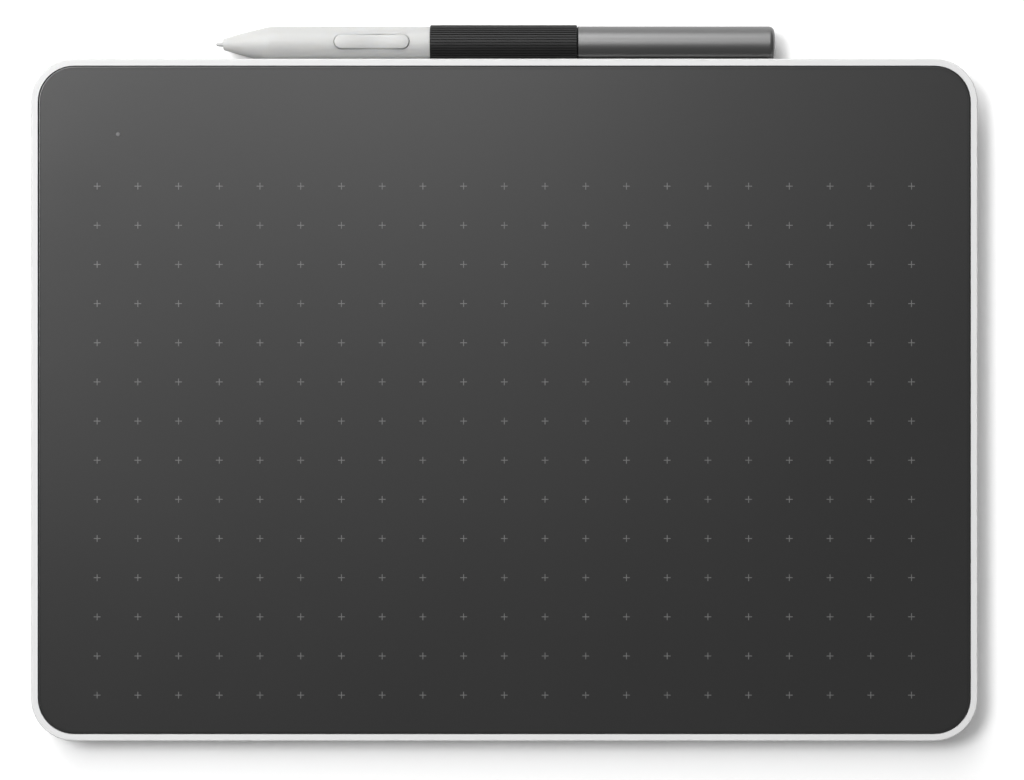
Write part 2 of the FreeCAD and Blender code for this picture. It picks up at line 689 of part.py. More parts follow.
def machine_screw(x, y, head_z, length, radius, head_radius, head, upward):
    """A pan-head screw with a cross drive. Its head sits at head_z and its shank points up or down."""
    pan = Part.makeCylinder(head_radius, head, V(0, 0, -head), Z_AXIS)
    pan = pan.makeChamfer(head / 3, level_edges(pan, -head))
    shank = Part.makeCylinder(radius, length, V(0, 0, 0), Z_AXIS)
    slot = SCREW_DRIVE / 2
    arm = head_radius * 0.6
    drive = box(-arm, arm, -slot / 2, slot / 2, -head, -head / 2).fuse(
        box(-slot / 2, slot / 2, -arm, arm, -head, -head / 2)
    )
    screw = pan.fuse(shank).cut(drive)
    if not upward:
        screw.rotate(V(0, 0, 0), X_AXIS, 180)
    screw.translate(V(x, y, head_z))
    return screw


def case_screws():
    length = BOSS_TOP_Z + BOSS_GAP + SCREW_GRIP - SEAT_Z - SCREW_FIT
    return [
        machine_screw(x, y, SEAT_Z, length, SCREW_RADIUS, SCREW_HEAD_RADIUS, SCREW_HEAD, True)
        for x, y in four_corners()
    ]


def board_screws():
    length = MAIN_SCREW_LENGTH + MAIN_THICKNESS - SCREW_FIT
    return [
        machine_screw(
            x, y, MAIN_TOP_Z, length, MAIN_SCREW_RADIUS, MAIN_SCREW_HEAD_RADIUS, MAIN_SCREW_HEAD, False
        )
        for x, y in main_screw_places()
    ]


def rubber_feet():
    feet = []
    for x, y in feet_places():
        foot = pill(x, y, FOOT_LENGTH, FOOT_WIDTH, 0, RECESS_Z)
        feet.append(foot.makeFillet(FOOT_ROUND, level_edges(foot, 0)))
    return feet


def usb_shell():
    y0 = BAY_FACE_Y - USB_LENGTH
    inside = (USB_WIDTH - 2 * USB_WALL, USB_HEIGHT - 2 * USB_WALL)
    tube = stadium(USB_X, USB_Z, USB_WIDTH, USB_HEIGHT, y0, BAY_FACE_Y)
    return tube.cut(stadium(USB_X, USB_Z, *inside, y0 - 1, BAY_FACE_Y + 1))


def usb_tongue():
    """The plastic core: a block that closes the back, and the tongue that carries the contacts."""
    y0 = BAY_FACE_Y - USB_LENGTH
    block = stadium(USB_X, USB_Z, USB_WIDTH - 2 * USB_WALL, USB_HEIGHT - 2 * USB_WALL, y0, y0 + USB_BACK)
    half = USB_TONGUE_HEIGHT / 2
    tongue = box(
        USB_X - USB_TONGUE_WIDTH / 2,
        USB_X + USB_TONGUE_WIDTH / 2,
        y0 + USB_BACK / 2,
        BAY_FACE_Y - USB_TONGUE_SETBACK,
        USB_Z - half,
        USB_Z + half,
    )
    return block.fuse(tongue).removeSplitter()


def usb_contacts():
    contacts = []
    y1 = BAY_FACE_Y - USB_TONGUE_SETBACK - USB_CONTACT_WIDTH
    for number in range(USB_CONTACTS):
        x0 = USB_X + (number - (USB_CONTACTS - 1) / 2) * USB_CONTACT_PITCH - USB_CONTACT_WIDTH / 2
        x1 = x0 + USB_CONTACT_WIDTH
        upper = USB_Z + USB_TONGUE_HEIGHT / 2
        lower = USB_Z - USB_TONGUE_HEIGHT / 2 - USB_CONTACT_HEIGHT
        for z in (upper, lower):
            contacts.append(box(x0, x1, y1 - USB_CONTACT_LENGTH, y1, z, z + USB_CONTACT_HEIGHT))
    return contacts


BUTTON_INNER_Y = BAY_INNER_Y - PLUNGER_GAP - BUTTON_EAR_THICKNESS
PLUNGER_Y = BUTTON_INNER_Y - PLUNGER_GAP
SWITCH_Y = PLUNGER_Y - PLUNGER_REACH
PLUNGER_Z = MAIN_Z - SWITCH_HEIGHT / 2


def power_button():
    """A pill-shaped cap through the bay's face, with an ear at each end that holds it in."""
    outer = BAY_FACE_Y + BUTTON_PROUD
    cap = stadium(BUTTON_X, USB_Z, BUTTON_LENGTH, BUTTON_HEIGHT, BUTTON_INNER_Y, outer)
    cap = cap.makeFillet(BUTTON_ROUND, [e for e in cap.Edges if e.BoundBox.YMin > outer - 1e-3])
    half = BUTTON_LENGTH / 2 + BUTTON_EAR
    ears = box(
        BUTTON_X - half,
        BUTTON_X + half,
        BUTTON_INNER_Y,
        BUTTON_INNER_Y + BUTTON_EAR_THICKNESS,
        USB_Z - BUTTON_HEIGHT / 3,
        USB_Z + BUTTON_HEIGHT / 3,
    )
    return cap.fuse(ears).removeSplitter()


def plunger_box(room, y0, y1):
    half_width = PLUNGER_WIDTH / 2 + room
    half_height = PLUNGER_HEIGHT / 2 + room
    return box(
        BUTTON_X - half_width,
        BUTTON_X + half_width,
        y0,
        y1,
        PLUNGER_Z - half_height,
        PLUNGER_Z + half_height,
    )


def switch_plunger():
    return plunger_box(0, SWITCH_Y - PLUNGER_ROOT, PLUNGER_Y)


def power_switch():
    x0 = BUTTON_X - SWITCH_WIDTH / 2
    body = box(x0, x0 + SWITCH_WIDTH, SWITCH_Y - SWITCH_DEPTH, SWITCH_Y, MAIN_Z - SWITCH_HEIGHT, MAIN_Z)
    pocket = SWITCH_Y - PLUNGER_ROOT - BUTTON_TRAVEL - PLUNGER_GAP
    return body.cut(plunger_box(PLUNGER_GAP, pocket, SWITCH_Y + 1))


def indicator_led():
    half = LED_SIZE / 2
    return box(LED_X - half, LED_X + half, LED_Y - half, LED_Y + half, MAIN_TOP_Z, MAIN_TOP_Z + LED_HEIGHT)


def light_pipe():
    stem = upright(PIPE_STEM_RADIUS, LED_X, LED_Y, MAIN_TOP_Z + LED_HEIGHT + PIPE_GAP, LEDGE_Z)
    flange = upright(PIPE_FLANGE_RADIUS, LED_X, LED_Y, LEDGE_Z - PIPE_FLANGE, LEDGE_Z)
    tip = upright(PIPE_RADIUS, LED_X, LED_Y, LEDGE_Z, TOP_Z)
    return stem.multiFuse([flange, tip]).removeSplitter()


def board_chips():
    """Crystal, processor, choke and charger in a row on the board's underside, beside the radio module."""
    row = (
        (CRYSTAL_LENGTH, CRYSTAL_DEPTH, CHIP_HEIGHT),
        (PROCESSOR_SIZE, PROCESSOR_SIZE, CHIP_HEIGHT),
        (CHOKE_SIZE, CHOKE_SIZE, CHOKE_HEIGHT),
        (CHARGER_SIZE, CHARGER_SIZE, CHIP_HEIGHT),
    )
    chips = []
    x1 = RADIO_LEFT - CHIP_GAP
    for length, depth, height in row:
        chips.append(box(x1 - length, x1, LEADS_Y - depth / 2, LEADS_Y + depth / 2, MAIN_Z - height, MAIN_Z))
        x1 -= length + CHIP_GAP
    return chips


def radio_module():
    """The wireless module's metal can."""
    half = RADIO_DEPTH / 2
    can = box(RADIO_LEFT, RADIO_RIGHT, LEADS_Y - half, LEADS_Y + half, MAIN_Z - RADIO_HEIGHT, MAIN_Z)
    edges = [e for e in can.Edges if abs(e.BoundBox.ZLength - RADIO_HEIGHT) < 1e-4]
    return can.makeFillet(RADIO_CORNER, edges)


def battery_socket():
    """The open-ended socket on the board's underside that takes the battery's plug."""
    x1 = SOCKET_RIGHT
    half = SOCKET_WIDTH / 2
    socket = box(x1 - SOCKET_LENGTH, x1, LEADS_Y - half, LEADS_Y + half, MAIN_Z - SOCKET_HEIGHT, MAIN_Z)
    wall = SOCKET_WALL
    return socket.cut(
        box(
            x1 - SOCKET_LENGTH + wall,
            x1 + 1,
            LEADS_Y - half + wall,
            LEADS_Y + half - wall,
            MAIN_Z - SOCKET_HEIGHT + wall,
            MAIN_Z - wall,
        )
    )


PLUG_Z = MAIN_Z - SOCKET_HEIGHT / 2
PLUG_END_X = SOCKET_RIGHT + PLUG_STANDS_OUT


def battery_plug():
    room = SOCKET_WALL + BOARD_FIT
    half_width = SOCKET_WIDTH / 2 - room
    half_height = SOCKET_HEIGHT / 2 - room
    start = SOCKET_RIGHT - SOCKET_LENGTH + room
    y0, y1 = LEADS_Y - half_width, LEADS_Y + half_width
    return box(start, PLUG_END_X, y0, y1, PLUG_Z - half_height, PLUG_Z + half_height)


def sideways_step(x0, x1, y0, y1, z):
    """Two equal tangent arcs that leave and arrive along X."""
    run = (x1 - x0) / 2
    step = (y1 - y0) / 2
    radius = (run**2 + step**2) / (2 * abs(step))
    half_turn = math.asin(run / radius) / 2
    along = radius * math.sin(half_turn)
    aside = math.copysign(radius * (1 - math.cos(half_turn)), step)
    middle = V(x0 + run, y0 + step, z)
    first = Part.Arc(V(x0, y0, z), V(x0 + along, y0 + aside, z), middle)
    second = Part.Arc(middle, V(x1 - along, y1 - aside, z), V(x1, y1, z))
    return [first.toShape(), second.toShape()]


def battery_leads():
    """Insulated wires that leave the plug side by side and fan out to the pads on the cell's seam."""
    leads = []
    start_x = PLUG_END_X
    end_x = BATTERY_LEFT - BATTERY_SEAM
    for number in range(LEAD_COUNT):
        place = number - (LEAD_COUNT - 1) / 2
        y0 = LEADS_Y + place * LEAD_PITCH
        y1 = LEADS_Y + place * LEAD_SPREAD
        if abs(y1 - y0) < 1e-6:
            leads.append(Part.makeCylinder(LEAD_RADIUS, end_x - start_x, V(start_x, y0, PLUG_Z), X_AXIS))
            continue
        bend_start = start_x + LEAD_STRAIGHT
        bend_end = end_x - LEAD_STRAIGHT
        route = [Part.makeLine(V(start_x, y0, PLUG_Z), V(bend_start, y0, PLUG_Z))]
        route += sideways_step(bend_start, bend_end, y0, y1, PLUG_Z)
        route.append(Part.makeLine(V(bend_end, y1, PLUG_Z), V(end_x, y1, PLUG_Z)))
        section = Part.Wire(Part.makeCircle(LEAD_RADIUS, V(start_x, y0, PLUG_Z), X_AXIS))
        leads.append(Part.Wire(route).makePipeShell([section], True, False))
    return leads


def battery():
    """A soft-pack cell with rounded long edges, and a sealed seam level with the plug."""
    cell = box(BATTERY_LEFT, BATTERY_RIGHT, BATTERY_FRONT, BATTERY_REAR, BATTERY_Z, BATTERY_TOP_Z)
    long_edges = [e for e in cell.Edges if abs(e.BoundBox.XLength - BATTERY_LENGTH) < 1e-4]
    cell = cell.makeFillet(BATTERY_EDGE, long_edges)
    half = BATTERY_SEAM_THICKNESS / 2
    seam = box(
        BATTERY_LEFT - BATTERY_SEAM,
        BATTERY_LEFT + BATTERY_SEAM,
        BATTERY_FRONT + BATTERY_EDGE,
        BATTERY_REAR - BATTERY_EDGE,
        PLUG_Z - half,
        PLUG_Z + half,
    )
    return cell.fuse(seam).removeSplitter()


def battery_tape():
    inset = 2 * BATTERY_EDGE
    return [
        box(x, x + BATTERY_LENGTH / 4, BATTERY_FRONT + inset, BATTERY_REAR - inset, INSIDE_Z, BATTERY_Z)
        for x in (BATTERY_LEFT + inset, BATTERY_RIGHT - inset - BATTERY_LENGTH / 4)
    ]


FLEX_Z = MAIN_TOP_Z + FLEX_CONNECTOR_HEIGHT / 2 - FLEX_THICKNESS / 2


def flex_connector():
    half = FLEX_WIDTH / 2 + FLEX_CONNECTOR_MARGIN
    y0 = FLEX_CONNECTOR_Y
    top = MAIN_TOP_Z + FLEX_CONNECTOR_HEIGHT
    body = box(FLEX_X - half, FLEX_X + half, y0, y0 + FLEX_CONNECTOR_DEPTH, MAIN_TOP_Z, top)
    slot_half = FLEX_WIDTH / 2 + BOARD_FIT
    slot = box(
        FLEX_X - slot_half,
        FLEX_X + slot_half,
        y0 - 1,
        y0 + FLEX_INSERT + BOARD_FIT,
        FLEX_Z - BOARD_FIT,
        FLEX_Z + FLEX_THICKNESS + BOARD_FIT,
    )
    return body.cut(slot)


def sensor_flex():
    """A flat cable bonded under the sensor board's rear edge, stepping up or down to its connector."""
    under = SENSOR_Z - FLEX_THICKNESS
    path = [
        (SENSOR_REAR - FLEX_OVERLAP, under),
        (SENSOR_REAR + FLEX_STRAIGHT, under),
        (FLEX_CONNECTOR_Y - FLEX_STRAIGHT, FLEX_Z),
        (FLEX_CONNECTOR_Y + FLEX_INSERT, FLEX_Z),
    ]
    ring = path + [(y, z + FLEX_THICKNESS) for y, z in reversed(path)]
    wire = Part.makePolygon([V(FLEX_X - FLEX_WIDTH / 2, y, z) for y, z in ring + ring[:1]])
    return Part.Face(wire).extrude(V(FLEX_WIDTH, 0, 0))


def nose_profile():
    """The nose's outer line, from the nib's hole to the straight barrel: a lip, a full cone, a shoulder."""
    lip_end = (NOSE_S + NOSE_LIP, NOSE_TIP_RADIUS + NOSE_LIP)
    lip_bend = NOSE_LIP * (1 - math.sqrt(0.5))
    cone_end = (NOSE_S + NOSE_LENGTH, FRONT_RADIUS - NOSE_SHOULDER)
    cone_middle = (
        (lip_end[0] + cone_end[0]) / 2 - NOSE_BULGE / 2,
        (lip_end[1] + cone_end[1]) / 2 + NOSE_BULGE,
    )
    shoulder_end = (cone_end[0] + NOSE_SHOULDER_LENGTH, FRONT_RADIUS)
    shoulder_middle = (cone_end[0] + 0.45 * NOSE_SHOULDER_LENGTH, FRONT_RADIUS - 0.32 * NOSE_SHOULDER)
    return [
        (NOSE_S, NOSE_TIP_RADIUS),
        ((NOSE_S + lip_bend, NOSE_TIP_RADIUS + NOSE_LIP - lip_bend), lip_end),
        (cone_middle, cone_end),
        (shoulder_middle, shoulder_end),
    ]


def key_prism(end_room, side_room, z0, z1):
    middle = KEY_START + KEY_LENGTH / 2
    return pill(middle, 0, KEY_LENGTH + 2 * end_room, KEY_WIDTH + 2 * side_room, z0, z1)


def front_case():
    """The white barrel: nose, side switch opening, and a long spigot that carries the grip and rear case."""
    hole = NIB_RADIUS + NIB_GAP
    hole_end = NOSE_S + NOSE_HOLE_LENGTH
    bore_start = NOSE_S + NOSE_LENGTH - 1.0
    outside = nose_profile() + [
        (GRIP_S, FRONT_RADIUS),
        (GRIP_S, SPIGOT_RADIUS),
        (SPIGOT_END_S, SPIGOT_RADIUS),
        (SPIGOT_END_S, PEN_BORE),
        (bore_start, PEN_BORE),
        (hole_end, hole),
        (NOSE_S, hole),
    ]
    return turned(outside).cut(key_prism(KEY_END_GAP, KEY_SIDE_GAP, 0, 2 * FRONT_RADIUS))


def grip_sleeve():
    """A rubber sleeve with fine lengthwise ribs and chamfered ends."""
    crest = GRIP_RADIUS
    groove = GRIP_RADIUS - GRIP_GROOVE
    step = 2 * math.pi / GRIP_RIBS
    points = []
    for rib in range(GRIP_RIBS):
        for share, radius in ((-0.3, crest), (0.3, crest), (0.42, groove), (0.58, groove)):
            angle = (rib + share) * step
            points.append(V(GRIP_S, radius * math.sin(angle), radius * math.cos(angle)))
    ribbed = Part.Face(Part.makePolygon(points + points[:1])).extrude(V(GRIP_LENGTH, 0, 0))
    turned_limit = turned(
        [
            (GRIP_S, SPIGOT_RADIUS),
            (GRIP_S, crest - GRIP_CHAMFER),
            (GRIP_S + GRIP_CHAMFER, crest),
            (GRIP_END_S - GRIP_CHAMFER, crest),
            (GRIP_END_S, crest - GRIP_CHAMFER),
            (GRIP_END_S, SPIGOT_RADIUS),
        ]
    )
    return ribbed.common(turned_limit)


def rear_case():
    """The grey barrel: it slips over the spigot and is closed by a softly rounded end."""
    bore = SPIGOT_RADIUS + SPIGOT_GAP
    bend = REAR_END_ROUND * (1 - math.sqrt(0.5))
    return turned(
        [
            (REAR_S, bore),
            (REAR_S, REAR_RADIUS - REAR_LIP_CHAMFER),
            (REAR_S + REAR_LIP_CHAMFER, REAR_RADIUS),
            (PEN_LENGTH - REAR_END_ROUND, REAR_RADIUS),
            ((PEN_LENGTH - bend, REAR_RADIUS - bend), (PEN_LENGTH, REAR_RADIUS - REAR_END_ROUND)),
            (PEN_LENGTH, 0),
            (PEN_LENGTH - REAR_END_WALL, 0),
            (PEN_LENGTH - REAR_END_WALL, bore),
        ]
    )


def nib():
    bend = NIB_TIP_RADIUS * (1 - math.sqrt(0.5))
    return turned(
        [
            (0, 0),
            ((bend, NIB_TIP_RADIUS - bend), (NIB_TIP_RADIUS, NIB_TIP_RADIUS)),
            (NIB_REACH, NIB_RADIUS),
            (NIB_LENGTH, NIB_RADIUS),
            (NIB_LENGTH, 0),
        ]
    )


def nib_holder():
    """The cup that grips the nib's root, with the rod that pushes on the pressure cell."""
    return turned(
        [
            (HOLDER_S, NIB_RADIUS),
            (HOLDER_S, HOLDER_RADIUS),
            (HOLDER_END_S, HOLDER_RADIUS),
            (HOLDER_END_S, ROD_RADIUS),
            (ROD_END_S, ROD_RADIUS),
            (ROD_END_S, 0),
            (NIB_LENGTH, 0),
            (NIB_LENGTH, NIB_RADIUS),
        ]
    )


def ferrite_core():
    end = CORE_START + CORE_LENGTH
    return round_bar(CORE_START, end, CORE_RADIUS).cut(round_bar(CORE_START - 1, end + 1, CORE_BORE))


def resonant_coil():
    end = COIL_START + COIL_LENGTH
    winding = round_bar(COIL_START, end, CORE_RADIUS + COIL_THICKNESS)
    return winding.cut(round_bar(COIL_START - 1, end + 1, CORE_RADIUS))


def pressure_cell():
    return round_bar(CELL_S, CELL_END_S, CHASSIS_RADIUS - CHASSIS_WALL - CELL_GAP)


def pen_chassis():
    """A half-round tray with a front wall, a shelf for the board, and two ears for the side switch."""
    inner = CHASSIS_RADIUS - CHASSIS_WALL
    tray = round_bar(CHASSIS_S, CHASSIS_REAR, CHASSIS_RADIUS)
    trough = round_bar(CHASSIS_S + CHASSIS_FRONT_WALL, CHASSIS_REAR + 1, inner)
    above = box(
        CHASSIS_S + CHASSIS_FRONT_WALL,
        CHASSIS_REAR + 1,
        -PEN_BORE,
        PEN_BORE,
        CHASSIS_SHELF,
        PEN_BORE,
    )
    tray = tray.cut(trough).cut(above)
    tray = tray.cut(round_bar(CHASSIS_S - 1, CHASSIS_S + CHASSIS_FRONT_WALL + 1, HOLDER_RADIUS + HOLDER_FIT))
    half = KEY_WEB_LENGTH / 2
    for side in LEFT_AND_RIGHT:
        ys = sorted((side * EAR_INNER, side * EAR_OUTER))
        root = -math.sqrt(max(inner**2 - EAR_OUTER**2, 0)) - CHASSIS_WALL / 3
        tray = tray.fuse(box(KEY_VALLEY - half, KEY_VALLEY + half, ys[0], ys[1], root, EAR_TOP))
    hole_radius = KEY_TRUNNION_RADIUS + KEY_TRUNNION_FIT
    hole = Part.makeCylinder(hole_radius, 2 * PEN_BORE, V(KEY_VALLEY, -PEN_BORE, KEY_PIVOT_HEIGHT), Y_AXIS)
    return tray.cut(hole).removeSplitter()


def pen_board():
    half = PEN_BOARD_WIDTH / 2
    end = PEN_BOARD_S + PEN_BOARD_LENGTH
    board = box(PEN_BOARD_S, end, -half, half, CHASSIS_SHELF, PEN_BOARD_TOP)
    slot = KEY_WEB_LENGTH / 2 + BOARD_FIT
    x0, x1 = KEY_VALLEY - slot, KEY_VALLEY + slot
    for side in LEFT_AND_RIGHT:
        y0, y1 = sorted((side * (EAR_INNER - BOARD_FIT), side * (EAR_OUTER + BOARD_FIT)))
        board = board.cut(box(x0, x1, y0, y1, CHASSIS_SHELF - 1, PEN_BOARD_TOP + 1))
    return board


def pen_switches():
    """Two small dome switches, one under each end of the side switch."""
    half = PEN_SWITCH_SIZE / 2
    top = PEN_BOARD_TOP + PEN_SWITCH_HEIGHT
    switches = []
    for station in (FRONT_SWITCH, REAR_SWITCH):
        body = box(station - half, station + half, -half, half, PEN_BOARD_TOP, top)
        dome = upright(PEN_SWITCH_DOME_RADIUS, station, 0, PEN_BOARD_TOP, top + PEN_SWITCH_DOME)
        switches.append(body.fuse(dome))
    return switches


def pen_chips():
    """Controller, amplifier and capacitor in a row behind the rear dome switch."""
    chips = []
    x0 = REAR_SWITCH + PEN_SWITCH_SIZE / 2 + PEN_CHIP_GAP
    for size in (PEN_CONTROLLER_SIZE, PEN_AMPLIFIER_SIZE, PEN_CAPACITOR_SIZE):
        half = size / 2
        chips.append(box(x0, x0 + size, -half, half, PEN_BOARD_TOP, PEN_BOARD_TOP + PEN_CHIP_HEIGHT))
        x0 += size + PEN_CHIP_GAP
    return chips


def side_switch():
    """One rocking key: a crest at each end, a valley between, pads below, and two trunnions."""
    key_end = KEY_START + KEY_LENGTH
    crest = FRONT_RADIUS + KEY_PROUD
    edge = crest - KEY_END_DROP
    valley = FRONT_RADIUS + KEY_VALLEY_PROUD
    front_crest = (KEY_START + KEY_VALLEY) / 2 - KEY_WIDTH / 4
    rear_crest = (key_end + KEY_VALLEY) / 2 + KEY_WIDTH / 4
    saddle = Part.BSplineCurve()
    saddle.interpolate(
        [
            V(KEY_START - KEY_SADDLE_OVERRUN, 0, edge - KEY_END_DROP),
            V(front_crest, 0, crest),
            V(KEY_VALLEY, 0, valley),
            V(rear_crest, 0, crest),
            V(key_end + KEY_SADDLE_OVERRUN, 0, edge - KEY_END_DROP),
        ]
    )
    first = saddle.value(saddle.FirstParameter)
    last = saddle.value(saddle.LastParameter)
    closing = Part.makePolygon([last, V(last.x, 0, 0), V(first.x, 0, 0), first])
    swept = Part.Face(Part.Wire([saddle.toShape()] + closing.Edges)).revolve(V(0, 0, 0), X_AXIS, 360)
    cap = key_prism(0, 0, KEY_UNDERSIDE, 2 * FRONT_RADIUS).common(swept)
    cap = cap.makeFillet(KEY_ROUND, [e for e in cap.Edges if e.BoundBox.ZMin > KEY_UNDERSIDE + KEY_ROOT])
    half_length = KEY_WEB_LENGTH / 2
    half_width = KEY_WEB_WIDTH / 2
    pad_foot = DOME_TOP + KEY_PRESS_ROOM
    pieces = [
        box(
            KEY_VALLEY - half_length,
            KEY_VALLEY + half_length,
            -half_width,
            half_width,
            KEY_PIVOT_HEIGHT - KEY_TRUNNION_RADIUS,
            KEY_UNDERSIDE + KEY_ROOT,
        ),
        Part.makeCylinder(
            KEY_TRUNNION_RADIUS,
            2 * EAR_OUTER,
            V(KEY_VALLEY, -EAR_OUTER, KEY_PIVOT_HEIGHT),
            Y_AXIS,
        ),
    ]
    for station in (FRONT_SWITCH, REAR_SWITCH):
        pieces.append(upright(KEY_PAD_RADIUS, station, 0, pad_foot, KEY_UNDERSIDE + KEY_ROOT))
    return cap.multiFuse(pieces).removeSplitter()


TABLET_PIECES = {
    "bottom_case": bottom_case,
    "top_cover": top_cover,
    "surface_sheet": surface_sheet,
    "spacer_sheet": spacer_sheet,
    "sensor_board": sensor_board,
    "shield_plate": shield_plate,
    "main_board": main_board,
    "board_screws": board_screws,
    "board_chips": board_chips,
    "radio_module": radio_module,
    "case_screws": case_screws,
    "rubber_feet": rubber_feet,
    "usb_shell": usb_shell,
    "usb_tongue": usb_tongue,
    "usb_contacts": usb_contacts,
    "power_button": power_button,
    "switch_plunger": switch_plunger,
    "power_switch": power_switch,
    "indicator_led": indicator_led,
    "light_pipe": light_pipe,
    "battery": battery,
    "battery_tape": battery_tape,
    "battery_leads": battery_leads,
    "battery_plug": battery_plug,
    "battery_socket": battery_socket,
    "flex_connector": flex_connector,
    "sensor_flex": sensor_flex,
}

PEN_PIECES = {
    "pen_front_case": front_case,
    "pen_grip_sleeve": grip_sleeve,
    "pen_rear_case": rear_case,
    "pen_nib": nib,
    "pen_nib_holder": nib_holder,
    "pen_ferrite_core": ferrite_core,
    "pen_coil": resonant_coil,
    "pen_pressure_cell": pressure_cell,
    "pen_chassis": pen_chassis,
    "pen_board": pen_board,
    "pen_switches": pen_switches,
    "pen_chips": pen_chips,
    "pen_side_switch": side_switch,
}


def save(name, made, is_pen):
    solids = made if isinstance(made, list) else [made]
    shape = solids[0] if len(solids) == 1 else Part.makeCompound(solids)
    if is_pen:
        shape.rotate(V(0, 0, 0), X_AXIS, -PEN_ROLL)
        shape.translate(V(PEN_TIP_X, PEN_Y, PEN_Z))
    shape.translate(V(0, TABLET_Y, 0))
    shape.exportStep("parts/" + name + ".step")
    print(name, len(shape.Solids), "solids", round(shape.Volume, 2), "mm3", "valid", shape.isValid())


os.makedirs("parts", exist_ok=True)
for name, make in TABLET_PIECES.items():
    save(name, make(), False)
for name, make in PEN_PIECES.items():
    save(name, make(), True)


def tell(what, *numbers):
    print(what, *[round(number, 4) for number in numbers])


roll = math.radians(PEN_ROLL)
pivot_aside = KEY_PIVOT_HEIGHT * math.sin(roll)
pivot_up = KEY_PIVOT_HEIGHT * math.cos(roll)
tell("tablet, and its centre in Y", CASE_WIDTH, CASE_DEPTH, TOP_Z, TABLET_Y)
tell("drawing surface centre", 0, ACTIVE_Y + TABLET_Y, TOP_Z)
tell("receptacle mouth", USB_X, BAY_FACE_Y + TABLET_Y, USB_Z)
tell("room for the plug", BUTTON_X + BUTTON_LENGTH / 2, BAY_RIGHT, BAY_FACE_Y + TABLET_Y, BAY_TOP_Z)
tell("side switch pivot", PEN_TIP_X + KEY_VALLEY, PEN_Y + TABLET_Y + pivot_aside, PEN_Z + pivot_up)
tell("side switch axis", 0, math.cos(roll), -math.sin(roll))
for x, y in feet_places():
    tell("foot", x, y + TABLET_Y, 0)
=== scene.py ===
import math

import bmesh
import bpy
from mathutils import Matrix, Vector


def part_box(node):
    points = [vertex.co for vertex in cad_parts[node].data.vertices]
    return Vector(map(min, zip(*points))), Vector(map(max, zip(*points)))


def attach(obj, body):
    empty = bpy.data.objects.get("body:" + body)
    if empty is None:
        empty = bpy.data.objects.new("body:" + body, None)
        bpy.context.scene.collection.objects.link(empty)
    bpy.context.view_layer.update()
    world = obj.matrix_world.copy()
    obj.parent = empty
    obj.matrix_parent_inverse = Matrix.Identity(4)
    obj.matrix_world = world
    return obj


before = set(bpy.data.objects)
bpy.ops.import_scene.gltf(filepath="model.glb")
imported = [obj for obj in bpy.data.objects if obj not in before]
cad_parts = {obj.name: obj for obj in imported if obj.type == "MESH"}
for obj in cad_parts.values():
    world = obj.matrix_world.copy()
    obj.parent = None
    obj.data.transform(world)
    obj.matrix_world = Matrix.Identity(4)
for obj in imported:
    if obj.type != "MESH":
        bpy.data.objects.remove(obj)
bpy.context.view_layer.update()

# The bottom case is a white moulded tub whose sides taper in towards the desk.
# Its mould is spark-eroded, so the plastic has a fine even grain and only a soft shine.
MM = 0.001


def start_group(name, inputs, outputs):
    """An empty node group. Its sockets are given as pairs of a label and a kind."""
    group = bpy.data.node_groups.new(name, "ShaderNodeTree")
    for way, sockets in (("INPUT", inputs), ("OUTPUT", outputs)):
        for label, kind in sockets:
            group.interface.new_socket(label, in_out=way, socket_type="NodeSocket" + kind)
    given = group.nodes.new("NodeGroupInput").outputs
    made = group.nodes.new("NodeGroupOutput").inputs
    return group, given, made


def shader_node(tree, kind, settings=(), **sockets):
    """One node. Each socket takes a number or another node's output.

    A socket is given by its name, or by its place, as n0 or n1.
    """
    node = tree.nodes.new(kind)
    for label, value in dict(settings).items():
        setattr(node, label, value)
    for label, value in sockets.items():
        key = int(label[1:]) if label[1:].isdigit() else label.replace("_", " ")
        if isinstance(value, bpy.types.NodeSocket):
            tree.links.new(value, node.inputs[key])
        else:
            node.inputs[key].default_value = value
    return node


def calculate(tree, operation, *values):
    numbered = {f"n{place}": value for place, value in enumerate(values)}
    return shader_node(tree, "ShaderNodeMath", {"operation": operation}, **numbered).outputs[0]


def tinted(tree, color, factor):
    """A colour made darker or lighter."""
    scale = {"operation": "SCALE"}
    return shader_node(tree, "ShaderNodeVectorMath", scale, n0=color, Scale=factor).outputs[0]


def build_moulded_grain():
    """Fine bumps, and broad faint patches of shade and shine, laid on in the piece's own space."""
    numbers = ("Roughness", "Swing", "Shade", "Grain Scale", "Grain Height", "Patch Scale")
    group, given, made = start_group(
        "moulded_grain",
        [("Color", "Color")] + [(label, "Float") for label in numbers],
        [("Color", "Color"), ("Roughness", "Float"), ("Normal", "Vector")],
    )
    wire = group.links.new
    place = shader_node(group, "ShaderNodeTexCoord").outputs["Object"]
    grain = shader_node(
        group, "ShaderNodeTexNoise", Vector=place, Scale=given["Grain Scale"], Detail=3.0
    ).outputs["Fac"]
    bump = shader_node(group, "ShaderNodeBump", Height=grain, Distance=given["Grain Height"])
    wire(bump.outputs["Normal"], made["Normal"])
    broad = shader_node(
        group, "ShaderNodeTexNoise", Vector=place, Scale=given["Patch Scale"], Detail=4.0
    ).outputs["Fac"]
    patch = calculate(group, "SUBTRACT", broad, 0.5)
    shine = calculate(group, "MULTIPLY_ADD", patch, given["Swing"], given["Roughness"])
    wire(shine, made["Roughness"])
    shade = calculate(group, "MULTIPLY_ADD", patch, given["Shade"], 1.0)
    wire(tinted(group, given["Color"], shade), made["Color"])
    return group


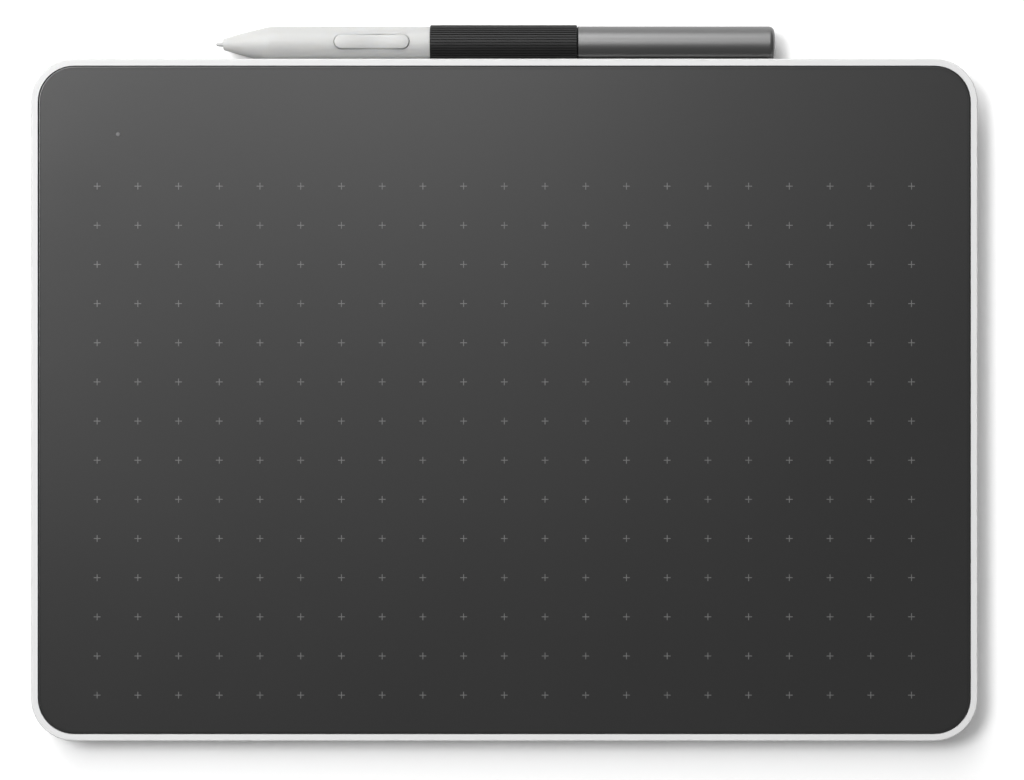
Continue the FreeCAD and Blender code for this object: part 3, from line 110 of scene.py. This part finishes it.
def finish_of(name, look, shader_values, under=(), **look_values):
    """A material whose varying values come from a node group.

    Constant ones go on the shader's own sockets. under lists further groups with their values.
    Each one's colour feeds the one before it.
    """
    material = bpy.data.materials.new(name)
    material.use_nodes = True
    tree = material.node_tree
    shader = tree.nodes["Principled BSDF"]
    source = shader_node(tree, "ShaderNodeGroup", {"node_tree": look}, **look_values)
    for output in source.outputs:
        socket = "Base Color" if output.name == "Color" else output.name
        tree.links.new(output, shader.inputs[socket])
    for look_below, values_below in under:
        below = shader_node(tree, "ShaderNodeGroup", {"node_tree": look_below}, **values_below)
        tree.links.new(below.outputs["Color"], source.inputs["Color"])
        source = below
    for label, value in shader_values.items():
        shader.inputs[label].default_value = value
    return material


moulded_grain = build_moulded_grain()


def grained(
    name, color, roughness, grain_mm, height_mm, swing, shade, patch_mm, under=(), **shader_values
):
    """One solid stuff with its grain, sized in millimetres.

    swing is how much its roughness varies, and shade how much its colour does.
    Where under gives the colour, color is None.
    """
    look_values = {
        "Roughness": roughness,
        "Swing": swing,
        "Shade": shade,
        "Grain Scale": 1 / (grain_mm * MM),
        "Grain Height": height_mm * MM,
        "Patch Scale": 1 / (patch_mm * MM),
    }
    if color is not None:
        look_values["Color"] = (*color, 1)
    constant_values = {label.replace("_", " "): value for label, value in shader_values.items()}
    return finish_of(name, moulded_grain, constant_values, under, **look_values)


def dress(material, *nodes):
    """Gives CAD nodes this material."""
    for node in nodes:
        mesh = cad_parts[node].data
        mesh.materials.clear()
        mesh.materials.append(material)


case_plastic = grained(
    "case_plastic", (0.71, 0.71, 0.71), roughness=0.5,
    grain_mm=0.35, height_mm=0.004, swing=0.08, shade=0.02, patch_mm=30,
)
dress(case_plastic, "bottom_case")

# Four black rubber pads lie in recesses under the case and hide its screws.
# They are die-cut from sheet, matt and a little dusty.
foot_rubber = grained(
    "foot_rubber", (0.022, 0.022, 0.022), roughness=0.78,
    grain_mm=0.3, height_mm=0.012, swing=0.1, shade=0.5, patch_mm=3,
)
dress(foot_rubber, "rubber_feet")

# Small screws hold the case together and the main board down. They are rolled and headed
# from steel wire, plated with zinc and tumbled, so they are a little uneven.
screw_steel = grained(
    "screw_steel", (0.5, 0.5, 0.51), roughness=0.34,
    grain_mm=0.15, height_mm=0.002, swing=0.25, shade=0.2, patch_mm=1.5, Metallic=1.0,
)
dress(screw_steel, "case_screws", "board_screws")

# The receptacle is a drawn steel shell round a black tongue that carries gold contacts.
# The shell's sheet shows faint lines along the way it was drawn.


def build_drawn_metal():
    """Long thin scratches: noise that is stretched along the way the sheet was rolled or drawn."""
    numbers = ("Roughness", "Swing", "Shade", "Relief")
    group, given, made = start_group(
        "drawn_metal",
        [("Color", "Color"), ("Fineness", "Vector")] + [(label, "Float") for label in numbers],
        [("Color", "Color"), ("Roughness", "Float"), ("Normal", "Vector")],
    )
    wire = group.links.new
    place = shader_node(group, "ShaderNodeTexCoord").outputs["Object"]
    pulled = shader_node(
        group, "ShaderNodeVectorMath", {"operation": "MULTIPLY"}, n0=place, n1=given["Fineness"]
    ).outputs[0]
    lines = shader_node(
        group, "ShaderNodeTexNoise", Vector=pulled, Scale=1.0, Detail=5.0, Roughness=0.65
    ).outputs["Fac"]
    bump = shader_node(group, "ShaderNodeBump", Height=lines, Distance=given["Relief"])
    wire(bump.outputs["Normal"], made["Normal"])
    centred = calculate(group, "SUBTRACT", lines, 0.5)
    shine = calculate(group, "MULTIPLY_ADD", centred, given["Swing"], given["Roughness"])
    wire(shine, made["Roughness"])
    shade = calculate(group, "MULTIPLY_ADD", centred, given["Shade"], 1.0)
    wire(tinted(group, given["Color"], shade), made["Color"])
    return group


drawn_metal = build_drawn_metal()


def drawn(name, color, roughness, line_mm, relief_mm, swing=0.3, shade=0.25):
    """Rolled or drawn metal. line_mm is how long its marks are along X, Y and Z."""
    return finish_of(
        name,
        drawn_metal,
        {"Metallic": 1.0},
        Color=(*color, 1),
        Roughness=roughness,
        Fineness=[1 / (length * MM) for length in line_mm],
        Swing=swing,
        Shade=shade,
        Relief=relief_mm * MM,
    )


port_steel = drawn(
    "port_steel", (0.56, 0.56, 0.57), roughness=0.3,
    line_mm=(0.08, 3, 0.08), relief_mm=0.001,
)
dress(port_steel, "usb_shell")
port_resin = grained(
    "port_resin", (0.015, 0.015, 0.016), roughness=0.45,
    grain_mm=0.1, height_mm=0.002, swing=0.15, shade=0.3, patch_mm=1,
)
dress(port_resin, "usb_tongue")
contact_gold = drawn(
    "contact_gold", (0.83, 0.6, 0.25), roughness=0.24,
    line_mm=(0.05, 0.6, 0.05), relief_mm=0.0004,
)
dress(contact_gold, "usb_contacts")

# The main board is glass-fibre laminate with green lacquer over its copper.
# The copper tracks show through the lacquer as paler, slightly raised lines between round pads.
MASK_GREEN = (0.012, 0.085, 0.035, 1)
TRACK_GREEN = (0.035, 0.19, 0.075, 1)
LACQUER_ROUGHNESS = 0.26
COPPER_RELIEF = 0.02 * MM
WEAVE_SIZE = 0.4 * MM
WEAVE_SWING = 0.15
PAD_PITCH = 3.5 * MM
# These are distances from a pad's middle, in shares of the pads' pitch. Tracks follow each other
# at twice HALF_TRACK_STEP. An edge goes from where there is no copper to where there is.
HALF_TRACK_STEP = 0.09
TRACK_EDGE = (0.05, 0.065)
PAD_EDGE = (0.1, 0.07)


def soft_step(tree, value, none, full):
    """Goes from 0 to 1 while the value goes from none to full."""
    smooth = {"interpolation_type": "SMOOTHSTEP"}
    return shader_node(
        tree, "ShaderNodeMapRange", smooth, Value=value, From_Min=none, From_Max=full
    ).outputs["Result"]


def blended(tree, share, color, other_color):
    """Goes from one colour to another while share goes from 0 to 1."""
    kind = {"data_type": "RGBA"}
    mix = shader_node(tree, "ShaderNodeMix", kind, Factor=share, n6=color, n7=other_color)
    return mix.outputs[2]


def build_printed_board():
    """Tracks are the square rings round scattered pads, seen through coloured lacquer."""
    group, given, made = start_group(
        "printed_board",
        [("Color", "Color"), ("Track Color", "Color"), ("Pad Scale", "Float"), ("Relief", "Float")],
        [("Color", "Color"), ("Roughness", "Float"), ("Normal", "Vector")],
    )
    wire = group.links.new
    place = shader_node(group, "ShaderNodeTexCoord").outputs["Object"]
    scale = given["Pad Scale"]
    square = {"distance": "CHEBYCHEV"}
    field = shader_node(group, "ShaderNodeTexVoronoi", square, Vector=place, Scale=scale)
    ring = calculate(group, "PINGPONG", field.outputs["Distance"], HALF_TRACK_STEP)
    track = soft_step(group, ring, *TRACK_EDGE)
    pads = shader_node(group, "ShaderNodeTexVoronoi", Vector=place, Scale=scale)
    pad = soft_step(group, pads.outputs["Distance"], *PAD_EDGE)
    copper = calculate(group, "MAXIMUM", track, pad)
    wire(blended(group, copper, given["Color"], given["Track Color"]), made["Color"])
    noise = shader_node(group, "ShaderNodeTexNoise", Vector=place, Scale=1 / WEAVE_SIZE, Detail=2.0)
    weave = calculate(group, "MULTIPLY_ADD", noise.outputs["Fac"], WEAVE_SWING, LACQUER_ROUGHNESS)
    wire(weave, made["Roughness"])
    bump = shader_node(group, "ShaderNodeBump", Height=copper, Distance=given["Relief"])
    wire(bump.outputs["Normal"], made["Normal"])
    return group


printed_board = build_printed_board()
board_mask = finish_of(
    "board_mask",
    printed_board,
    {},
    Color=MASK_GREEN,
    Track_Color=TRACK_GREEN,
    Pad_Scale=1 / PAD_PITCH,
    Relief=COPPER_RELIEF,
)
dress(board_mask, "main_board", "pen_board")

# Chips are moulded in black epoxy, with a matt top.
# The radio module sits under a can of tin plate, pressed from sheet and soldered down.
chip_resin = grained(
    "chip_resin", (0.018, 0.018, 0.02), roughness=0.58,
    grain_mm=0.08, height_mm=0.004, swing=0.2, shade=0.35, patch_mm=0.8,
)
dress(chip_resin, "board_chips", "pen_chips")
tin_plate = drawn(
    "tin_plate", (0.62, 0.62, 0.6), roughness=0.33,
    line_mm=(2.5, 0.1, 0.1), relief_mm=0.001,
)
dress(tin_plate, "radio_module")

# The battery is a flat pouch of aluminium laminate, slightly puckered by its vacuum seal.
# A strip of double-sided tissue tape holds it on the case's floor, inside its fence.
cell_foil = grained(
    "cell_foil", (0.6, 0.6, 0.61), roughness=0.36,
    grain_mm=2.5, height_mm=0.12, swing=0.3, shade=0.15, patch_mm=5, Metallic=1.0,
)
dress(cell_foil, "battery")
tissue_tape = grained(
    "tissue_tape", (0.74, 0.73, 0.68), roughness=0.6,
    grain_mm=0.12, height_mm=0.01, swing=0.2, shade=0.25, patch_mm=1,
)
dress(tissue_tape, "battery_tape")

# Three leads run side by side from the battery to a nylon plug in its socket on the main board.
# Their vinyl sleeves are red for plus, black for minus and yellow for the temperature sensor.
LEADS_LOW, LEADS_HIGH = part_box("battery_leads")
BLACK_VINYL = (0.01, 0.01, 0.01, 1)
YELLOW_VINYL = (0.5, 0.36, 0.03, 1)
RED_VINYL = (0.32, 0.015, 0.015, 1)
# Where one lead ends and the next begins, in shares of the row's width.
YELLOW_FROM = 0.405
RED_FROM = 0.595


def build_striped_sleeves():
    """Colours the leads by their place across the row."""
    group, given, made = start_group(
        "striped_sleeves", [("Start", "Float"), ("Width", "Float")], [("Color", "Color")]
    )
    place = shader_node(group, "ShaderNodeTexCoord").outputs["Object"]
    across = shader_node(group, "ShaderNodeSeparateXYZ", Vector=place).outputs["Y"]
    past = calculate(group, "SUBTRACT", across, given["Start"])
    share = calculate(group, "DIVIDE", past, given["Width"])
    ramp = shader_node(group, "ShaderNodeValToRGB", Fac=share)
    ramp.color_ramp.interpolation = "CONSTANT"
    ramp.color_ramp.elements[0].color = BLACK_VINYL
    ramp.color_ramp.elements[1].position = YELLOW_FROM
    ramp.color_ramp.elements[1].color = YELLOW_VINYL
    ramp.color_ramp.elements.new(RED_FROM).color = RED_VINYL
    group.links.new(ramp.outputs["Color"], made["Color"])
    return group


striped_sleeves = build_striped_sleeves()
lead_row = {"Start": LEADS_LOW[1], "Width": LEADS_HIGH[1] - LEADS_LOW[1]}
lead_sleeve = grained(
    "lead_sleeve", None, roughness=0.38,
    grain_mm=0.3, height_mm=0.003, swing=0.1, shade=0.1, patch_mm=3,
    under=[(striped_sleeves, lead_row)],
)
dress(lead_sleeve, "battery_leads")
plug_nylon = grained(
    "plug_nylon", (0.72, 0.69, 0.6), roughness=0.45,
    grain_mm=0.15, height_mm=0.002, swing=0.15, shade=0.1, patch_mm=1.5,
)
dress(plug_nylon, "battery_plug", "battery_socket")

# The power button is a small pill, moulded in the case's own plastic, in the rear wall.
# It presses a small switch on the main board through a black plunger.
dress(case_plastic, "power_button")
switch_resin = grained(
    "switch_resin", (0.03, 0.03, 0.032), roughness=0.42,
    grain_mm=0.12, height_mm=0.002, swing=0.12, shade=0.2, patch_mm=1,
)
dress(switch_resin, "power_switch", "switch_plunger")

# A light emitter is soldered to the main board, its chip under pale yellow resin.
# A pipe of frosted clear plastic carries its light up to a dot that is flush with the sheet.
led_resin = grained(
    "led_resin", (0.8, 0.78, 0.6), roughness=0.3,
    grain_mm=0.2, height_mm=0.001, swing=0.1, shade=0.1, patch_mm=1,
)
dress(led_resin, "indicator_led")
pipe_resin = grained(
    "pipe_resin", (0.139, 0.139, 0.139), roughness=0.3,
    grain_mm=0.1, height_mm=0.001, swing=0.1, shade=0.1, patch_mm=1,
)
dress(pipe_resin, "light_pipe")

# A shield plate under the sensor keeps the boards' noise away from it.
# It is cut from thin rolled aluminium, so its marks all run one way.
shield_metal = drawn(
    "shield_metal", (0.62, 0.63, 0.64), roughness=0.38,
    line_mm=(40, 0.25, 0.25), relief_mm=0.002, swing=0.25, shade=0.15,
)
dress(shield_metal, "shield_plate")

# The sensor board is a big thin printed board under the whole drawing area.
# Its receiving loops run right across it in both directions, under the green lacquer.
LOOP_PITCH = 5.2 * MM
LOOP_SHARE = 0.12


def build_laid_lines():
    """Even rows of lines, side by side.

    Rows points across them and is as long as their number in a metre. Line Share is how much
    of the surface they take up.
    """
    group, given, made = start_group(
        "laid_lines",
        [("Color", "Color"), ("Line Color", "Color"), ("Rows", "Vector"), ("Line Share", "Float")],
        [("Color", "Color")],
    )
    place = shader_node(group, "ShaderNodeTexCoord").outputs["Object"]
    product = {"operation": "DOT_PRODUCT"}
    across = shader_node(group, "ShaderNodeVectorMath", product, n0=place, n1=given["Rows"])
    from_line = calculate(group, "PINGPONG", across.outputs["Value"], 0.5)
    half_line = calculate(group, "MULTIPLY", given["Line Share"], 0.5)
    line = calculate(group, "LESS_THAN", from_line, half_line)
    group.links.new(blended(group, line, given["Color"], given["Line Color"]), made["Color"])
    return group


laid_lines = build_laid_lines()


def lined(color, line_color, rows, share):
    """What a grained finish carries under its grain: lines of another colour.

    Where a further layer gives the colour between the lines, color is None.
    """
    values = {"Line_Color": line_color, "Rows": rows, "Line_Share": share}
    if color is not None:
        values["Color"] = color
    return laid_lines, values


sensor_mask = grained(
    "sensor_mask", None, roughness=0.32,
    grain_mm=0.4, height_mm=0.004, swing=0.15, shade=0.25, patch_mm=8,
    under=[
        lined(None, TRACK_GREEN, (1 / LOOP_PITCH, 0, 0), LOOP_SHARE),
        lined(MASK_GREEN, TRACK_GREEN, (0, 1 / LOOP_PITCH, 0), LOOP_SHARE),
    ],
)
dress(sensor_mask, "sensor_board")

# A flat flexible cable joins the sensor to the main board.
# It is amber film with fine copper lines along it, pressed into a nylon connector.
AMBER_FILM = (0.3, 0.1, 0.012, 1)
COPPER_UNDER_FILM = (0.62, 0.3, 0.09, 1)
FLEX_LINE_PITCH = 0.5 * MM
FLEX_LINE_SHARE = 0.55
flex_film = grained(
    "flex_film", None, roughness=0.28,
    grain_mm=0.4, height_mm=0.002, swing=0.1, shade=0.1, patch_mm=3,
    under=[lined(AMBER_FILM, COPPER_UNDER_FILM, (1 / FLEX_LINE_PITCH, 0, 0), FLEX_LINE_SHARE)],
)
dress(flex_film, "sensor_flex")
connector_nylon = grained(
    "connector_nylon", (0.66, 0.62, 0.5), roughness=0.48,
    grain_mm=0.12, height_mm=0.002, swing=0.15, shade=0.15, patch_mm=1,
)
dress(connector_nylon, "flex_connector")

# The spacer sheet lies between the sensor and the cover and keeps them level.
# It is punched from milky polyester film.
spacer_film = grained(
    "spacer_film", (0.75, 0.75, 0.73), roughness=0.42,
    grain_mm=0.5, height_mm=0.002, swing=0.12, shade=0.06, patch_mm=15,
)
dress(spacer_film, "spacer_sheet")

# The top cover is a flat black moulding with bumps along its rim that snap into the tub.
# Its face is smooth and level, to take the drawing sheet.
cover_plastic = grained(
    "cover_plastic", (0.02, 0.02, 0.02), roughness=0.23,
    grain_mm=0.3, height_mm=0.003, swing=0.04, shade=0.06, patch_mm=20, Specular_IOR_Level=0.555,
)
dress(cover_plastic, "top_cover")

# The drawing sheet is a dark matt film, bonded on the cover and cut with a hole for the light.
# Its fine tooth makes the nib drag as a pencil does on paper.
sheet_film = grained(
    "sheet_film", (0.02, 0.02, 0.02), roughness=0.23,
    grain_mm=0.22, height_mm=0.0025, swing=0.03, shade=0.05, patch_mm=45, Specular_IOR_Level=0.555,
)
dress(sheet_film, "surface_sheet")

# The grid of small crosses shows the drawing area. It is screen-printed on the sheet in grey ink,
# which stands up from the film by about a hundredth of a millimetre.
SHEET_LOW, SHEET_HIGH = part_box("surface_sheet")
SHEET_TOP = SHEET_HIGH[2]
SHEET_MIDDLE_Y = (SHEET_LOW[1] + SHEET_HIGH[1]) / 2
AREA_WIDTH = 216 * MM
AREA_DEPTH = 135 * MM
AREA_FORWARD = 10.8 * MM
GRID_COLUMNS = 21
GRID_ROWS = 14
CROSS_SIZE = 1.8 * MM
INK_WIDTH = 0.21 * MM
INK_THICKNESS = 0.012 * MM
INK_SUNK = INK_THICKNESS / 4


def printed_grid():
    """One cross grows from a square by its four edges, gets its thickness, and is repeated."""
    shape = bmesh.new()
    bmesh.ops.create_grid(shape, x_segments=1, y_segments=1, size=INK_WIDTH / 2)
    arm = (CROSS_SIZE - INK_WIDTH) / 2
    for edge in list(shape.edges):
        middle = (edge.verts[0].co + edge.verts[1].co) / 2
        grown = bmesh.ops.extrude_edge_only(shape, edges=[edge])["geom"]
        ends = [item for item in grown if isinstance(item, bmesh.types.BMVert)]
        bmesh.ops.translate(shape, verts=ends, vec=middle.normalized() * arm)
    bmesh.ops.recalc_face_normals(shape, faces=shape.faces)
    faces = list(shape.faces)
    raised = bmesh.ops.extrude_face_region(shape, geom=faces, use_keep_orig=True)["geom"]
    tops = [item for item in raised if isinstance(item, bmesh.types.BMVert)]
    bmesh.ops.translate(shape, verts=tops, vec=(0, 0, INK_THICKNESS))
    front_row = SHEET_MIDDLE_Y - AREA_FORWARD - AREA_DEPTH / 2
    start = Vector((-AREA_WIDTH / 2, front_row, SHEET_TOP - INK_SUNK))
    bmesh.ops.translate(shape, verts=shape.verts, vec=start)
    for count, step in (
        (GRID_COLUMNS, Vector((AREA_WIDTH / (GRID_COLUMNS - 1), 0, 0))),
        (GRID_ROWS, Vector((0, AREA_DEPTH / (GRID_ROWS - 1), 0))),
    ):
        first = list(shape.verts) + list(shape.edges) + list(shape.faces)
        for number in range(1, count):
            copy = bmesh.ops.duplicate(shape, geom=first)["geom"]
            verts = [item for item in copy if isinstance(item, bmesh.types.BMVert)]
            bmesh.ops.translate(shape, verts=verts, vec=step * number)
    bmesh.ops.recalc_face_normals(shape, faces=shape.faces)
    return shape


def piece_of(name, shape, material):
    """Turns a finished bmesh into an object of the scene."""
    mesh = bpy.data.meshes.new(name)
    shape.to_mesh(mesh)
    shape.free()
    mesh.materials.append(material)
    piece = bpy.data.objects.new(name, mesh)
    bpy.context.scene.collection.objects.link(piece)
    return piece


grid_ink = grained(
    "grid_ink", (0.135, 0.135, 0.135), roughness=0.28,
    grain_mm=0.2, height_mm=0.002, swing=0.1, shade=0.15, patch_mm=4, Specular_IOR_Level=0.555,
)
grid = piece_of("printed_grid", printed_grid(), grid_ink)
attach(grid, "tablet")

# The pen's front case and its rocking key are moulded in white plastic with a low sheen.
# The plastic lets a little light through, so that the narrow gaps round the key stay pale.
pen_white = grained(
    "pen_white", (0.583, 0.583, 0.575), roughness=0.43,
    grain_mm=0.25, height_mm=0.001, swing=0.05, shade=0.02, patch_mm=12, Subsurface_Weight=0.8,
    Subsurface_Radius=(1.0, 0.95, 0.85), Subsurface_Scale=2.5 * MM,
)
dress(pen_white, "pen_front_case", "pen_side_switch")

# The grip is a sleeve of black rubber with fine grooves along it, pulled over the case's spigot.
# Skin oil and dust leave it faintly uneven.
grip_rubber = grained(
    "grip_rubber", (0.011, 0.011, 0.011), roughness=0.52,
    grain_mm=0.1, height_mm=0.002, swing=0.15, shade=0.3, patch_mm=3, Specular_IOR_Level=0.367,
)
dress(grip_rubber, "pen_grip_sleeve")

# The rear case is a closed plastic tube that slips over the front case's end.
# It is sprayed a satin metallic grey, whose flakes give it a very fine sparkle.
rear_coat = grained(
    "rear_coat", (0.217, 0.217, 0.217), roughness=0.37,
    grain_mm=0.06, height_mm=0.0003, swing=0.04, shade=0.1, patch_mm=0.25, Metallic=1.0,
)
dress(rear_coat, "pen_rear_case")

# The nib is a blunt point of hard pale grey acetal that a user can pull out and change.
# It sits in a black cup, which passes its push on to the pressure cell.
nib_resin = grained(
    "nib_resin", (0.485, 0.485, 0.48), roughness=0.4,
    grain_mm=0.1, height_mm=0.001, swing=0.1, shade=0.08, patch_mm=1,
)
dress(nib_resin, "pen_nib")
holder_resin = grained(
    "holder_resin", (0.022, 0.022, 0.024), roughness=0.4,
    grain_mm=0.15, height_mm=0.002, swing=0.12, shade=0.2, patch_mm=1.5,
)
dress(holder_resin, "pen_nib_holder")

# The tuned coil is one layer of enamelled copper wire on a tube of grey sintered ferrite.
# The tablet's loops drive it, and it sends their signal back, so the pen needs no battery.
ENAMELLED_COPPER = (0.5, 0.19, 0.07, 1)
# The dark lines between the turns are painted shade, where the grooves between the wires fall dark.
PAINTED_SHADE_BETWEEN_TURNS = (0.16, 0.045, 0.015, 1)
TURN_PITCH = 0.16 * MM
TURN_GAP_SHARE = 0.3
ferrite = grained(
    "ferrite", (0.035, 0.035, 0.038), roughness=0.62,
    grain_mm=0.12, height_mm=0.008, swing=0.2, shade=0.5, patch_mm=0.6,
)
dress(ferrite, "pen_ferrite_core")
# The wire's colour carries that painted shade as dark lines between its turns.
coil_wire = grained(
    "coil_wire", None, roughness=0.3,
    grain_mm=0.1, height_mm=0.003, swing=0.1, shade=0.1, patch_mm=2, Metallic=1.0,
    under=[lined(ENAMELLED_COPPER, PAINTED_SHADE_BETWEEN_TURNS, (1 / TURN_PITCH, 0, 0), TURN_GAP_SHARE)],
)
dress(coil_wire, "pen_coil")

# A tray moulded in pale glass-filled plastic carries the pressure cell, the board and its
# switches. Each of the two switches is a snap dome of spring steel.
chassis_resin = grained(
    "chassis_resin", (0.56, 0.55, 0.5), roughness=0.5,
    grain_mm=0.2, height_mm=0.005, swing=0.15, shade=0.12, patch_mm=1.5,
)
dress(chassis_resin, "pen_chassis", "pen_pressure_cell")
dome_steel = grained(
    "dome_steel", (0.55, 0.55, 0.55), roughness=0.3,
    grain_mm=0.12, height_mm=0.001, swing=0.2, shade=0.15, patch_mm=1, Metallic=1.0,
)
dress(dome_steel, "pen_switches")

# The camera looks straight down on the set through a long lens. Its height and place are those
# at which the edges and the grid fall where the photograph has them.
VIEW_HEIGHT = 780 * MM
VIEW_X = 2.04 * MM
VIEW_Y = SHEET_MIDDLE_Y + 2.63 * MM
VIEW_WIDTH = 271.6 * MM
SENSOR = 36.0
camera_data = bpy.data.cameras.new("overhead_camera")
camera_data.sensor_width = SENSOR
camera_data.lens = SENSOR * (VIEW_HEIGHT - SHEET_TOP) / VIEW_WIDTH
camera_data.clip_start = 0.01
camera = bpy.data.objects.new("overhead_camera", camera_data)
camera.location = (VIEW_X, VIEW_Y, VIEW_HEIGHT)
bpy.context.scene.collection.objects.link(camera)
bpy.context.scene.camera = camera

# Two soft lights stand at the left, towards the rear, and throw the shadows. A low one at the
# rear draws the bright line along the pen. Two weak ones by the camera lay the broad sheen on
# the drawing sheet.
LIGHT_DISTANCE = 2.2


def soft_light(name, turn, lean, half_angle, share):
    """A round lamp by its angles in degrees.

    turn is from the rear towards the left, and lean is from overhead. half_angle is half of what
    it fills as the set sees it, and share is its part of full white.
    """
    turn = math.radians(turn)
    lean = math.radians(lean)
    data = bpy.data.lights.new(name, "AREA")
    data.shape = "DISK"
    data.size = 2 * LIGHT_DISTANCE * math.tan(math.radians(half_angle))
    data.energy = share * math.pi ** 2 * LIGHT_DISTANCE ** 2 / math.cos(lean)
    lamp = bpy.data.objects.new(name, data)
    raised = Vector((0, 0, LIGHT_DISTANCE))
    place = Matrix.Rotation(turn, 4, "Z") @ Matrix.Rotation(-lean, 4, "X") @ raised
    lamp.location = place
    lamp.rotation_euler = place.to_track_quat("Z", "Y").to_euler()
    bpy.context.scene.collection.objects.link(lamp)


soft_light("key_softbox", turn=65, lean=30, half_angle=9, share=0.351)
soft_light("fill_softbox", turn=40, lean=34, half_angle=12, share=0.207)
soft_light("rear_softbox", turn=20, lean=56, half_angle=14, share=0.207)
soft_light("overhead_softbox", turn=13, lean=14.3, half_angle=8.6, share=0.0396)
soft_light("boom_softbox", turn=21.5, lean=26, half_angle=28.5, share=0.162)

# The room is grey all round, a plain weak light from every side.
# A tall pale wall stands behind the set, for the metal to mirror.
SKY_LEVEL = 0.189
WALL_LEVEL = 1.0
WALL_LEAN = math.radians(60)
# Cosines of the angle from the wall's middle: where it begins, and where it is at its level.
WALL_EDGE = 0.82
WALL_FULL = 0.985
world = bpy.data.worlds.new("studio")
world.use_nodes = True
studio = world.node_tree
toward = shader_node(studio, "ShaderNodeTexCoord").outputs["Generated"]
wall_middle = (0, math.sin(WALL_LEAN), math.cos(WALL_LEAN))
facing = shader_node(
    studio, "ShaderNodeVectorMath", {"operation": "DOT_PRODUCT"}, n0=toward, n1=wall_middle
).outputs["Value"]
wall = shader_node(
    studio, "ShaderNodeMapRange", {"interpolation_type": "SMOOTHSTEP"}, Value=facing,
    From_Min=WALL_EDGE, From_Max=WALL_FULL, To_Min=SKY_LEVEL, To_Max=WALL_LEVEL,
)
mirrored = shader_node(studio, "ShaderNodeLightPath").outputs["Is Glossy Ray"]
level = shader_node(studio, "ShaderNodeMix", Factor=mirrored, A=SKY_LEVEL, B=wall.outputs["Result"])
studio.links.new(level.outputs["Result"], studio.nodes["Background"].inputs["Strength"])
studio.nodes["Background"].inputs["Color"].default_value = (1, 1, 1, 1)
bpy.context.scene.world = world

# The floor is a white paper sweep. It keeps the shadows of the tablet and the pen, and fades to
# plain white away from them. The set gets less light back from it than its own white would give.
FLOOR_SIZE = 4.0
FLOOR_WHITE = 1.0
FLOOR_BOUNCE = 0.533
FLOOR_LIFT = 0.082
FADE_START = 0.3
FADE_END = 1.1
floor_shape = bmesh.new()
bmesh.ops.create_grid(floor_shape, x_segments=1, y_segments=1, size=FLOOR_SIZE / 2)
floor_paint = bpy.data.materials.new("floor_paint")
floor_paint.use_nodes = True
sweep = floor_paint.node_tree
floor_shader = sweep.nodes["Principled BSDF"]
floor_shader.inputs["Roughness"].default_value = 0.9
floor_shader.inputs["Specular IOR Level"].default_value = 0.2
floor_shader.inputs["Emission Color"].default_value = (1, 1, 1, 1)
path = shader_node(sweep, "ShaderNodeLightPath").outputs
seen = calculate(sweep, "MAXIMUM", path["Is Camera Ray"], path["Is Glossy Ray"])
paint = shader_node(sweep, "ShaderNodeMix", Factor=seen, A=FLOOR_BOUNCE, B=FLOOR_WHITE)
sweep.links.new(paint.outputs["Result"], floor_shader.inputs["Base Color"])
ground = shader_node(sweep, "ShaderNodeTexCoord").outputs["Object"]
away = shader_node(sweep, "ShaderNodeVectorMath", {"operation": "LENGTH"}, n0=ground)
far = soft_step(sweep, away.outputs["Value"], FADE_START, FADE_END)
glow = calculate(sweep, "MULTIPLY_ADD", far, 1 - FLOOR_LIFT, FLOOR_LIFT)
lift = calculate(sweep, "MULTIPLY", path["Is Camera Ray"], glow)
sweep.links.new(lift, floor_shader.inputs["Emission Strength"])
floor = piece_of("floor", floor_shape, floor_paint)

bpy.context.scene.view_settings.view_transform = "Standard"
